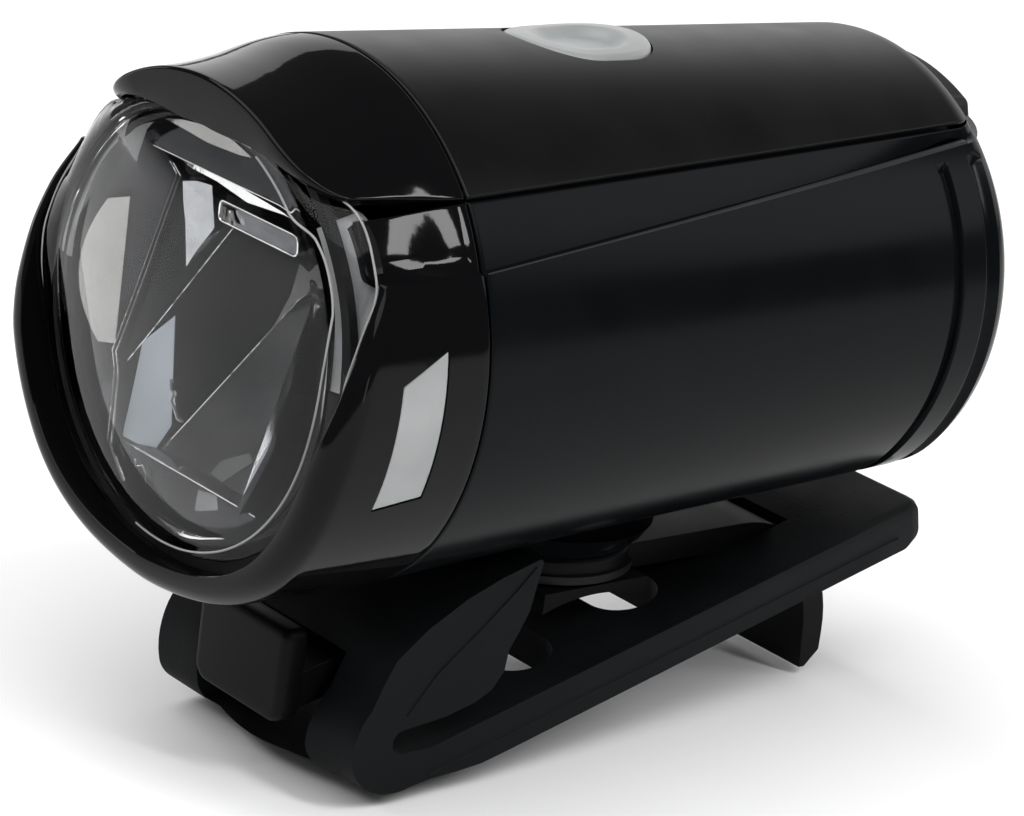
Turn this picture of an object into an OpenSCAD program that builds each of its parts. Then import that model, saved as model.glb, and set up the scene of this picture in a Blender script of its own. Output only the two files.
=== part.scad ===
// Bike headlight on a handlebar bracket with a rubber strap.
// The light looks along -Y, +Z is up and +X is the light's own left side.
// The origin is the crown of the bracket's seat, where it rests on top of a handlebar.
// All sizes are in millimetres.

/* [Body] */
// Radius of the body where it meets the bezel
body_r = 23; // [22:0.25:24.5]
// Loss of radius from the bezel to the rear face
body_taper = 2.3; // [1.5:0.1:2.8]
// Length of the body behind the bezel
body_len = 63; // [62:0.5:68]
// Wall of the two body shells
wall = 1.8; // [1.4:0.1:2.2]
// Round of the rear edge
rear_round = 2; // [1:0.25:3]
// Open line between pieces that butt together
seam = 0.15; // [0.1:0.05:0.25]
// Height of the upper shell's lower edge above the axis, at the bezel
split_z = 14.9; // [14.4:0.1:15.4]
// Rise of that edge over the body's length
split_rise = 1; // [0.5:0.1:1.5]
// Height of the side crease above the axis, at the bezel
crease_z = 9.8; // [9:0.1:10.5]
// Rise of that crease over the body's length
crease_rise = 5; // [4:0.1:5.5]
// Depth of the side strip between the crease and the upper edge
strip_depth = 0.5; // [0.2:0.1:0.8]
// Width of the two rear grooves
groove_w = 1.2; // [0.8:0.1:1.6]
// Depth of the two rear grooves
groove_depth = 0.6; // [0.3:0.1:0.8]
// Spacing of the two rear grooves
groove_pitch = 4.3; // [3.5:0.1:5]
// Distance of the rearmost groove from the rear face
groove_inset = 3.3; // [3.2:0.1:5]

/* [Bezel and lens] */
// Reach of the bezel's lip in front of the body
lip_reach = 15; // [14:0.25:16]
// Round of the bezel's lip
lip_round = 3; // [2:0.25:3.5]
// Width of the bezel's rim around its opening
rim_w = 4; // [3.6:0.1:4.5]
// Depth of the lip in front of the lens flange
lip_depth = 2; // [1.5:0.1:2.5]
// Reach of the hood in front of the body
hood_reach = 14.4; // [13.8:0.1:14.8]
// Droop of the hood from the body to its front edge
hood_droop = 1.8; // [1:0.1:1.9]
// Wall of the hood
hood_wall = 1.4; // [1.2:0.1:1.5]
// Reach of the side strip in front of the body, where the lens wing begins
wing_y = 10.2; // [9:0.1:11]
// Wall of the lens
lens_t = 1.8; // [1.4:0.1:2.2]
// Bulge of the lens in front of its flange
lens_bulge = 4.2; // [3:0.1:5]
// Width of the lens flange behind the lip
lens_flange = 0.8; // [0.5:0.1:1]
// Thickness of the lens gasket
gasket_t = 0.8; // [0.5:0.1:1.2]
// Height of the side windows
window_h = 12; // [9:0.5:13]
// Width of the side windows
window_w = 4.3; // [3:0.1:5]
// Distance of the side windows from the body
window_y = 5; // [4:0.1:5.5]
// Height of the side windows' upper rear corner above the axis
window_top = 4.5; // [3.5:0.1:5]
// Drop of the side windows' upper edge towards the front
window_lean = 2.4; // [1:0.1:3]
// Height of the lens wing's lower corner above the axis, negative is below
notch_low = -2; // [-3:0.1:0]

/* [Lamp inside] */
// Wall of the reflector
reflector_t = 1.2; // [0.8:0.1:1.6]
// Depth of the reflector bowl
reflector_depth = 12.4; // [10:0.2:13]
// Half width of the reflector's shield as a share of the bowl's mouth
shield_share = 0.636; // [0.55:0.005:0.66]
// Height of the reflector's upper shelf above the axis
shelf_edge = 11.8; // [11:0.1:12.2]
// Depth of the reflector's lower step below the axis
step_edge = 12.6; // [11.5:0.1:13]
// Thickness of the heat sink's plates
sink_t = 1.8; // [1.4:0.1:2.2]
// Thickness of the lamp board
lamp_board_t = 1.2; // [0.8:0.1:1.6]
// Side of the light-emitting diode
emitter_w = 3.4; // [2.5:0.1:5]
// Height of the light-emitting diode
emitter_t = 0.7; // [0.5:0.1:1]
// Diameter of the battery cell as a share of the body's radius
cell_share = 0.795; // [0.7:0.005:0.8]
// Space between the battery cradle and the body's wall
cell_gap = 0.55; // [0.4:0.05:1]
// Space between the heat sink and the battery cradle
sink_gap = 1.5; // [1:0.1:3]
// Wall of the battery cradle
cradle_t = 1; // [0.8:0.1:1.4]
// Height of the driver board's lower face above the axis
board_z = 9; // [7:0.25:9.5]
// Thickness of the driver board
board_t = 1.6; // [1:0.1:2]
// Space between the driver board and the body's wall
board_gap = 0.8; // [0.5:0.1:1.5]
// Radius of the small screws
small_screw_r = 1; // [0.8:0.1:1.2]

/* [Button] */
// Width of the button
button_w = 12.4; // [10:0.2:14]
// Length of the button
button_l = 15.5; // [14.5:0.25:18]
// Distance of the button's centre behind the bezel
button_y = 24.5; // [22:0.5:28]
// Travel of the button
button_travel = 0.8; // [0.4:0.1:1]
// Gap around the button
button_gap = 0.3; // [0.2:0.05:0.5]

/* [Charging port] */
// Width of the port's flap
flap_w = 21; // [18:0.5:24]
// Thickness of the flap
flap_t = 1.6; // [1.2:0.1:2]
// Height of the flap's hinge line above the axis
flap_z = 8.6; // [7.5:0.1:9]
// Width of the charging socket
port_w = 7.5; // [7:0.1:9]
// Height of the charging socket
port_h = 2.8; // [2.6:0.1:3.4]

/* [Bracket] */
// Distance of the swivel axis behind the bezel
pivot_back = 29; // [27.5:0.25:30.5]
// Gap between the body and the bracket's deck
deck_gap = 0.6; // [0.4:0.1:1]
// Thickness of the bracket's deck
deck_t = 2.4; // [2.2:0.1:2.8]
// Radius of the deck around the swivel
deck_r = 10.5; // [10:0.1:11]
// Width of the hook, the arm and the rear blade
hook_w = 12; // [10:0.25:13]
// Reach of the front hook ahead of the swivel axis
hook_reach = 32.5; // [32:0.25:33.5]
// Thickness of the hook's lip
lip_t = 2.4; // [1.8:0.1:2.8]
// Height of the hook's lip above the underside of its arm
hook_h = 7.7; // [7:0.1:8]
// Thickness of the front arm
arm_t = 3.2; // [2.6:0.1:3.4]
// Thickness of the rear blade
blade_t = 2.6; // [2:0.1:3]
// Radius of the rear blade's bend
blade_bend = 11.3; // [10:0.1:12]
// Distance of that bend behind the swivel axis
blade_y = 19; // [18:0.25:20]
// Reach of the blade's tip below the seat
blade_drop = 12.7; // [11:0.25:14]
// Swivel of the light to each side, in degrees
swivel = 8; // [4:1:10]
// Radius of the swivel foot
foot_r = 7; // [6:0.1:7.4]
// Running gap of the foot in the deck
foot_gap = 0.08; // [0.03:0.01:0.1]
// Radius of the retaining washer
washer_r = 8.3; // [8:0.1:8.6]
// Thickness of the retaining washer
washer_t = 0.7; // [0.5:0.05:0.9]
// Radius of the swivel screw
swivel_screw_r = 1.5; // [1.25:0.05:2]
// Radius of the bar seat
seat_r = 17.5; // [16:0.5:20]
// Length of the seat along the light
seat_l = 12; // [9:0.5:12.5]
// Width of the seat across the light
seat_w = 16; // [13:0.5:18]
// Thickness of the seat pad at its crown
pad_t = 0.8; // [0.6:0.1:1]

/* [Strap] */
// Width of the strap
strap_w = 26; // [25:0.5:27]
// Thickness of the strap
strap_t = 4; // [3.2:0.1:4.2]
// Slope of the strap's lower run
strap_slope = 14.45; // [13.5:0.25:15.5]
// Height of the lower run's middle under the seat, negative is below
strap_z = -5.3; // [-6:0.1:-5.2]
// Inner radius of the front bend
bend_r = 1.1; // [0.8:0.1:1.5]
// Distance of the bend's centre ahead of the swivel axis, along the strap
bend_u = 24.2; // [23.5:0.1:25]
// Distance of the strap's rear end behind the swivel axis, along the strap
strap_rear = 36.2; // [35:0.2:37]
// Length of the strap's ladder slots
slot_l = 6; // [5:0.25:7]
// Spacing of the strap's ladder slots
slot_pitch = 13; // [12:0.5:14]
// Clearance of the strap around the bracket
strap_gap = 0.4; // [0.3:0.05:0.6]
// Gap between the strap's tail and the body
tail_gap = 0.6; // [0.5:0.1:1]

/* [Hidden] */
$fn = 96;

far = 60;
overlap = 0.5;
screw_fit = 0.05;
// Heights of the deck and of the lamp's axis above the bar
deck_front = 13;
deck_z = pad_t;
deck_top = deck_z + deck_t;
axis_z = deck_top + deck_gap + body_radius(pivot_back - deck_front);
// Bezel and lens, measured from the joint with the body
rim_y = -lip_reach + lip_depth;
opening_r = body_r - rim_w;
flange_r = opening_r + lens_flange;
dome_r = opening_r - 0.2;
dome_sphere = (dome_r * dome_r + lens_bulge * lens_bulge) / (2 * lens_bulge);
gasket_y = rim_y + lens_t;
reflector_y = gasket_y + gasket_t;
reflector_flange_t = 1;
bowl_mouth = dome_r - reflector_t;
// Shield in the bowl: its lower corners, and each facet's depth behind the mouth, slope out and slope up
shield_half = shield_share * bowl_mouth;
shield_corner = [0.79 * shield_half, -step_edge / 2.25];
facets = [[8.63, 0, 0.63], [9.4, -0.65, 0.4], [12.49, -1, 0.305]];
lamp_window = [7, 6.4];
bezel_bore = body_r - wall;
notch_rise = [2.1, 5];
notch_elbow = [1, 2.5];
seal_w = 3;
seal_t = 0.8;
// Lamp shelf above the reflector, hung under the hood
shelf_front = wing_y - 0.7;
shelf_w = 14;
sink_screw_edge = 1.9;
shelf_gap = 0.7;
emitter_gap = 1.2;
sink_disc_gap = 0.5;
hood_bore = hood_radius(-shelf_front) - hood_wall;
sink_z = sqrt(hood_bore * hood_bore - shelf_w * shelf_w / 4) - sink_t - shelf_gap;
lamp_board_z = sink_z - lamp_board_t;
shelf_z = lamp_board_z - emitter_gap;
sink_y = reflector_y + reflector_depth + reflector_t + 1;
// Battery, cradle and driver board, measured from the inside of the rear wall
rear_in = body_len - wall;
contact_t = 0.4;
cradle_end_t = 1;
cradle_fit = 0.15;
cell_d = cell_share * body_r;
cell_front = sink_y + sink_t + sink_gap + cradle_end_t + contact_t;
cell_rear = rear_in - 2 * cradle_end_t - 2 * contact_t;
cell_len = cell_rear - cell_front;
cradle_r = cell_d / 2 + cradle_fit + cradle_t;
cell_z = cradle_r + cell_gap + wall - body_radius(rear_in);
foot_top = cell_z - cradle_r;
board_top = board_z + board_t;
board_bore = body_radius(rear_in) - wall;
board_w = 2 * (sqrt(board_bore * board_bore - board_top * board_top) - board_gap);
board_front = 12;
post_w = 4;
post_x = board_w / 2 - post_w + 0.5;
screw_inset = 11;
screw_ends = [board_front + 2 * post_w, rear_in - screw_inset];
screw_head_t = 1;
screw_bite = 6;
// Charging port, button and switch
port_margin = 2.4;
button_flange_t = 0.8;
button_flange = 1.2;
button_seat = sqrt(pow(body_radius(button_y) - wall, 2) - pow(button_w / 2 + button_flange, 2));
flange_top = button_seat - 0.4;
stem_r = 2;
stem_z = flange_top - button_flange_t - 1;
switch_w = 6;
plunger_r = 1.7;
plunger_h = 1.4;
switch_top = stem_z - button_travel - 0.2;
// Retaining washer, under the deck
washer_gap = 0.1;
washer_z = deck_z + 0.35;
pocket_r = washer_r + 0.4;
pocket_top = washer_z + washer_t + washer_gap;
screw_head_w = 1.3;
screw_head_r = swivel_screw_r + screw_head_w;
// Strap and hook, measured across the strap's lower run
arm_clear = 3.3;
arm_v = bend_r + strap_t / 2 + arm_clear;
slot_w = hook_w + 2 * strap_gap;
bend_v = bend_r + strap_t / 2;
rear_slot_from = 15.3;
rear_rung = 6.2;
tail_shape = [[7.4, 5.8], [15.3, 7], [19.4, 7.6], [17.5, 3], [14.5, -1.4]];

function body_radius(y) = body_r - body_taper * y / body_len;
function bowl_y(r) = reflector_y + reflector_depth * (1 - pow(r / bowl_mouth, 2));
function hood_radius(y) = body_r + hood_droop * y / hood_reach;
function arm_under(y) = strap_z + (arm_v + y * sin(strap_slope)) / cos(strap_slope);
function arm_over(y) = arm_under(y) + arm_t / cos(strap_slope);
function arc(centre, r, from, to, steps = 14) = [for (i = [0:steps])
    let (a = from + (to - from) * i / steps) centre + r * [cos(a), sin(a)]];

// Places the lamp's own frame, whose axis is Y and whose origin is the joint of body and bezel.
module lamp() { translate([0, -pivot_back, axis_z]) children(); }

// Turns a profile of radius and distance along the axis round the lamp's axis.
module turned() { rotate([-90, 0, 0]) rotate_extrude() children(); }

// Pulls a side view, drawn as distance along Y and height, through the whole width.
module side_view(width = 2 * far) { rotate([90, 0, 90]) linear_extrude(width, center = true) children(); }

// A tube round the lamp's axis.
module ring(r_in, r_out, y_from, y_to)
{
    turned() translate([r_in, y_from]) square([r_out - r_in, y_to - y_from]);
}

// A slot outline with round ends along its length.
module stadium(width, length)
{
    square([width, length - width], center = true);
    for (side = [-1, 1]) translate([0, side * (length - width) / 2]) circle(width / 2);
}

// A bar outline with round ends across its length.
module slot_across(width, length)
{
    square([width - length, length], center = true);
    for (side = [-1, 1]) translate([side * (width - length) / 2, 0]) circle(length / 2);
}

// The tapered body with its round rear edge, made smaller all round by the inset.
module body_form(inset, front = 0)
{
    len = body_len - inset;
    edge = rear_round;
    edge_r = body_radius(len - edge) - inset;
    turned()
    {
        polygon([[0, front], [body_radius(front) - inset, front], [edge_r, len - edge],
                 [edge_r - edge, len], [0, len]]);
        intersection()
        {
            translate([edge_r - edge, len - edge]) circle(edge);
            translate([edge_r - edge, len - edge]) square(edge);
        }
    }
}

// The body's wall, open at the front.
module body_wall()
{
    difference()
    {
        body_form(0);
        body_form(wall, -overlap);
    }
}

// Everything above a line that climbs from front to rear.
module above(z_front, rise)
{
    slope = rise / body_len;
    side_view() polygon([[-far, z_front - slope * far], [2 * far, z_front + slope * 2 * far],
                         [2 * far, 2 * far], [-far, 2 * far]]);
}

module upper_shell()
{
    color("#1b1b1d") lamp() difference()
    {
        intersection()
        {
            body_wall();
            above(split_z + seam / 2, split_rise);
        }
        translate([0, button_y, 0]) linear_extrude(far)
            stadium(button_w + 2 * button_gap, button_l + 2 * button_gap);
    }
}

// Outside of the lower shell: full up to the crease, stepped in from there to the upper shell.
module lower_form()
{
    difference()
    {
        body_form(0);
        above(crease_z, crease_rise);
    }
    difference()
    {
        body_form(strip_depth);
        above(split_z - seam / 2, split_rise);
    }
}

module rear_grooves()
{
    for (i = [0, 1])
    {
        y = body_len - groove_inset - groove_w - i * groove_pitch;
        difference()
        {
            ring(body_radius(y) - groove_depth, body_r + overlap, y, y + groove_w);
            above(crease_z - 1, crease_rise);
        }
    }
}

module lower_shell()
{
    color("#101216") lamp() difference()
    {
        union()
        {
            difference()
            {
                lower_form();
                body_form(wall, -overlap);
                rear_grooves();
                translate([0, rear_in, board_top + port_h / 2])
                    cube([port_w + port_margin, 3 * wall, port_h + port_margin], center = true);
            }
            translate([0, pivot_back, washer_z + washer_t - axis_z])
                cylinder(r = foot_r, h = foot_top + axis_z - washer_z - washer_t);
        }
        translate([0, pivot_back, -axis_z])
            cylinder(r = swivel_screw_r + screw_fit, h = axis_z + foot_top - 0.8);
    }
}

// Ring of the bezel before it is cut: a wall, a step for the lens and a round lip.
module bezel_ring()
{
    lip_r = body_r - lip_round - 0.1;
    lip_back = -lip_reach + lip_round;
    step_y = reflector_y + reflector_flange_t;
    difference()
    {
        union()
        {
            turned() polygon([[opening_r, lip_back - overlap], [opening_r, step_y], [bezel_bore, step_y],
                              [bezel_bore, -seam], [body_r, -seam], [lip_r + lip_round, lip_back],
                              [lip_r, lip_back - overlap]]);
            turned() intersection()
            {
                translate([lip_r, lip_back]) circle(lip_round);
                translate([opening_r, -lip_reach]) square([far, lip_round]);
            }
        }
        ring(0, flange_r + 0.2, rim_y, step_y);
    }
}

// Side view of the notch in the bezel where the clear lens wraps to the side.
module wing_notch(gap)
{
    low = [-lip_reach - overlap, notch_low + gap];
    middle = low + notch_rise;
    corner = [-wing_y - gap, crease_z + gap];
    side_view() polygon([[-far, low[1]], low, middle, corner - notch_elbow, corner,
                         [corner[0], far], [-far, far]]);
}

// Side view of a side window: the front edge leans with the lip.
module window_outline(gap)
{
    back = -window_y - gap;
    front = back - window_w + 2 * gap;
    top = window_top - gap;
    bottom = top - window_h + 2 * gap;
    polygon([[back, top], [front, top - window_lean], [front - 0.5, bottom - 0.6], [back - 0.2, bottom]]);
}

module front_bezel()
{
    color("#060607") lamp() difference()
    {
        bezel_ring();
        wing_notch(0);
        above(split_z - seam, 0);
        difference()
        {
            ring(body_r - strip_depth, body_r + overlap, -far, 0);
            mirror([0, 0, 1]) above(-crease_z, 0);
        }
        side_view() window_outline(0);
    }
}

module side_windows()
{
    color("#b9bcbc") lamp() intersection()
    {
        ring(bezel_bore + 0.1, body_r - 0.2, -lip_reach, 0);
        side_view() window_outline(0.1);
    }
}

// The front edge stands square over the lens and curves back to the side strip at each end.
module hood()
{
    reach = hood_reach + overlap;
    curve = [hood_reach - wing_y + 1, 4];
    steps = 10;
    edge = [for (i = [0:steps]) let (turn = 90 * i / steps)
        [-hood_reach + curve[0] * (1 - sin(turn)), split_z + curve[1] * (1 - cos(turn))]];
    color("#060607") lamp() intersection()
    {
        turned() polygon([[body_r - hood_wall, -seam], [body_r, -seam],
                          [hood_radius(-reach), -reach], [hood_radius(-reach) - hood_wall, -reach]]);
        side_view() polygon(concat([[overlap, split_z]], edge, [[-hood_reach, far], [overlap, far]]));
    }
}

module lens()
{
    centre = rim_y - lens_bulge + dome_sphere;
    color("#dfe6ea", 0.35) lamp()
    {
        difference()
        {
            intersection()
            {
                translate([0, centre, 0]) sphere(dome_sphere, $fn = 192);
                ring(0, dome_r, -far, rim_y + lens_t);
            }
            translate([0, centre, 0]) sphere(dome_sphere - lens_t, $fn = 192);
            ring(0, dome_r - lens_t, rim_y, 0);
        }
        ring(dome_r - lens_t, flange_r, rim_y + 0.05, gasket_y);
        intersection()
        {
            ring(flange_r - overlap, body_r - strip_depth, rim_y - 0.8, gasket_y);
            wing_notch(seam);
            mirror([0, 0, 1]) above(-split_z + seam, 0);
        }
    }
}

module lens_gasket()
{
    color("#2a2a2c") lamp() ring(flange_r - 1, flange_r - 0.1, gasket_y, reflector_y);
}

// Space in front of one facet of the shield.
module facet_front(depth, out, up)
{
    translate([0, reflector_y + depth, 0]) rotate([-asin(up / norm([1, out, up])), 0, atan(out)])
        translate([-far, -2 * far, -far]) cube(2 * far);
}

// Upper shelf, lower step and the faceted shield between them, as one filling in front of the bowl.
module shield()
{
    edge = [[shield_half, shelf_edge + overlap], [shield_half, shield_corner[1]],
            [shield_corner[0], -step_edge - overlap]];
    translate([-far, reflector_y + 0.4, shelf_edge]) cube(2 * far);
    translate([-far, -far, -2 * far - step_edge]) cube(2 * far);
    difference()
    {
        translate([0, far, 0]) rotate([90, 0, 0]) linear_extrude(2 * far)
            polygon(concat(edge, [for (i = [2:-1:0]) [-edge[i][0], edge[i][1]]]));
        intersection()
        {
            facet_front(facets[0][0], facets[0][1], facets[0][2]);
            intersection_for (side = [-1, 1]) intersection()
            {
                facet_front(facets[1][0], side * facets[1][1], facets[1][2]);
                facet_front(facets[2][0], side * facets[2][1], facets[2][2]);
            }
        }
    }
}

// Bowl of the reflector, cut flat under the lamp shelf, with the shield in front of it.
module reflector()
{
    steps = 12;
    inside = [for (i = [0:steps]) let (r = bowl_mouth * i / steps) [r, bowl_y(r)]];
    outside = [for (i = [steps:-1:0]) let (r = bowl_mouth * i / steps) [r, bowl_y(r) + reflector_t]];
    front = reflector_y - 1;
    filled = [for (i = [steps - 1:-1:0]) inside[i] + [0, overlap]];
    color("#d9dbdd") lamp() difference()
    {
        union()
        {
            turned() polygon(concat(inside, outside));
            ring(bowl_mouth - 0.5, flange_r - 0.1, reflector_y, reflector_y + reflector_flange_t);
            intersection()
            {
                turned() polygon(concat([[0, front], [inside[steps - 1][0], front]], filled));
                shield();
            }
        }
        above(shelf_z, 0);
        translate([-lamp_window[0] / 2, -(shelf_front + lamp_window[1]) / 2, shelf_edge - 1])
            cube([lamp_window[0], lamp_window[1], far]);
    }
}

module led_board()
{
    color("#f1f2ee") lamp() difference()
    {
        translate([-shelf_w / 2, -shelf_front, lamp_board_z])
            cube([shelf_w, shelf_front - 0.5, lamp_board_t]);
        heat_sink_holes();
    }
}

module led_emitter()
{
    color("#f4e36a") lamp() translate([0, -shelf_front / 2, lamp_board_z - emitter_t / 2])
        cube([emitter_w, emitter_w, emitter_t], center = true);
}

module heat_sink_holes()
{
    for (side = [-1, 1]) translate([side * (shelf_w / 2 - sink_screw_edge), -shelf_front / 2, 0])
        cylinder(r = small_screw_r + screw_fit, h = sink_z + sink_t - 0.5);
}

module heat_sink_screws()
{
    color("#8d9094") lamp() for (side = [-1, 1])
        translate([side * (shelf_w / 2 - sink_screw_edge), -shelf_front / 2, lamp_board_z - 0.9])
        {
            cylinder(r = small_screw_r + 0.8, h = 0.9);
            cylinder(r = small_screw_r, h = 0.9 + lamp_board_t + sink_t - 0.6);
        }
}

// Aluminium plate over the lamp board, bent down into a disc behind the reflector.
module heat_sink()
{
    disc_r = body_radius(sink_y) - wall - sink_disc_gap;
    color("#a9adb1") lamp() difference()
    {
        union()
        {
            translate([-shelf_w / 2, -shelf_front, sink_z])
                cube([shelf_w, shelf_front + sink_y + sink_t, sink_t]);
            difference()
            {
                ring(0, disc_r, sink_y, sink_y + sink_t);
                above(sink_z + sink_t, 0);
            }
        }
        heat_sink_holes();
    }
}

module body_seal()
{
    seal_r = min(bezel_bore, hood_radius(-seal_w / 2) - hood_wall) - 0.1;
    color("#202022") lamp() ring(seal_r - seal_t, seal_r, -seal_w / 2, seal_w / 2);
}

// Silicone cap with a flange under the shell, a stem over the switch and a finger dimple.
module button()
{
    dimple_r = 15;
    dimple = 0.5;
    top = body_radius(button_y);
    color("#9da1a3") lamp() difference()
    {
        union()
        {
            intersection()
            {
                body_form(0.1);
                translate([0, button_y, flange_top - overlap]) linear_extrude(far)
                    stadium(button_w, button_l);
            }
            translate([0, button_y, flange_top - button_flange_t]) linear_extrude(button_flange_t)
                stadium(button_w + 2 * button_flange, button_l + 2 * button_flange);
            translate([0, button_y, stem_z]) cylinder(r = stem_r, h = flange_top - stem_z);
        }
        translate([0, button_y, top - dimple + dimple_r]) sphere(dimple_r);
    }
}

module tact_switch()
{
    color("#303236") lamp() translate([0, button_y, board_top])
    {
        translate([-switch_w / 2, -switch_w / 2, 0])
            cube([switch_w, switch_w, switch_top - plunger_h - board_top]);
        cylinder(r = plunger_r, h = switch_top - board_top);
    }
}

module board_holes(r)
{
    for (x = [-post_x, post_x], y = screw_ends) translate([x, y, board_z - screw_bite])
        cylinder(r = r, h = screw_bite + board_t);
}

module driver_board()
{
    color("#1f5a34") lamp() difference()
    {
        translate([-board_w / 2, board_front, board_z])
            cube([board_w, rear_in - rear_round - board_front, board_t]);
        board_holes(small_screw_r + screw_fit);
    }
}

module board_screws()
{
    color("#8d9094") lamp()
    {
        board_holes(small_screw_r);
        for (x = [-post_x, post_x], y = screw_ends) translate([x, y, board_top])
            cylinder(r = 2 * small_screw_r, h = screw_head_t);
    }
}

module usb_socket()
{
    depth = 5.6;
    skin = 0.4;
    back = 0.8;
    color("#b8bbbe") lamp() difference()
    {
        translate([-port_w / 2, rear_in - depth, board_top]) cube([port_w, depth, port_h]);
        translate([0, rear_in, board_top + port_h / 2])
            cube([port_w - 2 * skin, 2 * (depth - back), port_h - 2 * skin], center = true);
    }
}

// Rubber flap on the rear face: its top follows the body's edge, its foot is the hinge.
module usb_flap()
{
    stand_off = 0.3;
    flap_r = body_radius(body_len) - 0.5;
    hinge_r = flap_t / 2;
    plug_h = port_h + 1;
    color("#0c0c0d") lamp()
    {
        intersection()
        {
            ring(0, flap_r, body_len + stand_off, body_len + stand_off + flap_t);
            translate([-flap_w / 2, 0, flap_z]) cube([flap_w, 2 * body_len, far]);
        }
        translate([0, body_len + stand_off + hinge_r, flap_z]) rotate([0, 90, 0])
            cylinder(r = hinge_r, h = flap_w, center = true);
        translate([-port_w / 2 - 0.5, rear_in + 0.4, board_top + (port_h - plug_h) / 2])
            cube([port_w + 1, wall + stand_off, plug_h]);
    }
}

module battery_cell()
{
    color("#2f6fae") lamp() translate([0, cell_front, cell_z]) rotate([-90, 0, 0])
        cylinder(r = cell_d / 2, h = cell_len);
}

// Half tube under the cell with an end wall at each contact and four posts for the board.
module battery_cradle()
{
    front = cell_front - contact_t - cradle_end_t;
    rear = cell_rear + contact_t + cradle_end_t;
    color("#3a3b3e") lamp()
    {
        difference()
        {
            translate([0, front, cell_z]) rotate([-90, 0, 0]) cylinder(r = cradle_r, h = rear - front);
            translate([0, cell_front - contact_t, cell_z]) rotate([-90, 0, 0])
                cylinder(r = cradle_r - cradle_t, h = rear - front - 2 * cradle_end_t);
            translate([-far, -far, cell_z]) cube([2 * far, 4 * far, far]);
        }
        difference()
        {
            for (side = [-1, 1], y = screw_ends)
                translate([side * (post_x + cradle_r) / 2, y, (cell_z - 1.5 + board_z) / 2])
                    cube([post_x - cradle_r + post_w, post_w, board_z - cell_z + 1.5], center = true);
            translate([0, cell_front - contact_t, cell_z]) rotate([-90, 0, 0])
                cylinder(r = cradle_r - cradle_t, h = rear - front - 2 * cradle_end_t);
            board_holes(small_screw_r + screw_fit);
        }
    }
}

module battery_contacts()
{
    plate = 8;
    color("#c9b26a") lamp() for (y = [cell_front - contact_t, cell_rear])
        translate([-plate / 2, y, cell_z - plate / 2]) cube([plate, contact_t, plate / 2]);
}

module swivel_washer()
{
    color("#9a9da1") difference()
    {
        translate([0, 0, washer_z]) cylinder(r = washer_r, h = washer_t);
        translate([0, 0, washer_z])
            cylinder(r1 = screw_head_r + screw_fit, r2 = swivel_screw_r + screw_fit, h = washer_t);
    }
}

module swivel_screw()
{
    color("#8d9094")
    {
        translate([0, 0, washer_z]) cylinder(r1 = screw_head_r, r2 = swivel_screw_r, h = washer_t);
        translate([0, 0, washer_z]) cylinder(r = swivel_screw_r, h = axis_z + foot_top - 1 - washer_z);
    }
}

// Places the strap's own frame: Y runs back along the lower run, Z stands square on it.
module along_strap() { translate([0, 0, strap_z]) rotate([strap_slope, 0, 0]) children(); }

// Side view of the bracket: upturned hook, sloping arm, deck and the blade that bends down behind.
module bracket_profile()
{
    hook_y = -hook_reach + lip_t / 2;
    hook_z = arm_under(-hook_reach);
    arm_back = -pocket_r - 0.2;
    blade_z = deck_top - blade_bend - blade_t / 2;
    outer = blade_bend + blade_t / 2;
    inner = blade_bend - blade_t / 2;
    root_angle = 300;
    hook = concat(arc([hook_y, hook_z + lip_t / 2], lip_t / 2, root_angle, 180),
                  arc([hook_y, hook_z + hook_h - lip_t / 2], lip_t / 2, 180, 0),
                  [[hook_y + lip_t / 2, arm_over(hook_y + lip_t / 2)]]);
    deck = [[-deck_front, arm_over(-deck_front)], [-deck_front, deck_top]];
    blade = concat(arc([blade_y, blade_z], outer, 90, 0),
                   [[blade_y + outer, -blade_drop], [blade_y + inner, -blade_drop]],
                   arc([blade_y, blade_z], inner, 0, 90));
    under = [[blade_y, deck_z], [arm_back, deck_z], [arm_back, arm_under(arm_back)]];
    polygon(concat(hook, deck, blade, under));
}

// One moulding, with a round deck about the swivel foot and a pocket for the washer below it.
module bracket()
{
    color("#141417") difference()
    {
        union()
        {
            translate([0, 0, deck_z]) cylinder(r = deck_r, h = deck_t);
            side_view(hook_w) bracket_profile();
        }
        translate([0, 0, deck_z - overlap]) cylinder(r = pocket_r, h = pocket_top - deck_z + overlap);
        translate([0, 0, deck_z - overlap]) cylinder(r = foot_r + foot_gap, h = far);
    }
}

module saddle_pad()
{
    depth = seat_r - sqrt(seat_r * seat_r - seat_l * seat_l / 4);
    color("#19191b") difference()
    {
        translate([-seat_w / 2, -seat_l / 2, -depth]) cube([seat_w, seat_l, pad_t + depth]);
        translate([0, 0, -seat_r]) rotate([0, 90, 0]) cylinder(r = seat_r, h = 2 * far, center = true);
    }
}

// Side view of the strap: lower run, front bend and the leaf-shaped pull tail.
module strap_profile()
{
    half = strap_t / 2;
    bend_out = bend_r + strap_t;
    tail_angle = 130;
    tail_root = [7, 0.9];
    outside = arc([-bend_u, bend_v], bend_out, 270, tail_angle);
    inside = arc([-bend_u, bend_v], bend_r, tail_angle, 270);
    tail_from = outside[len(outside) - 1];
    polygon(concat([[strap_rear, -half]], outside, [for (p = tail_shape) tail_from + p],
                   [[-bend_u, bend_v] + tail_root], inside, [[strap_rear, half]]));
}

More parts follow.
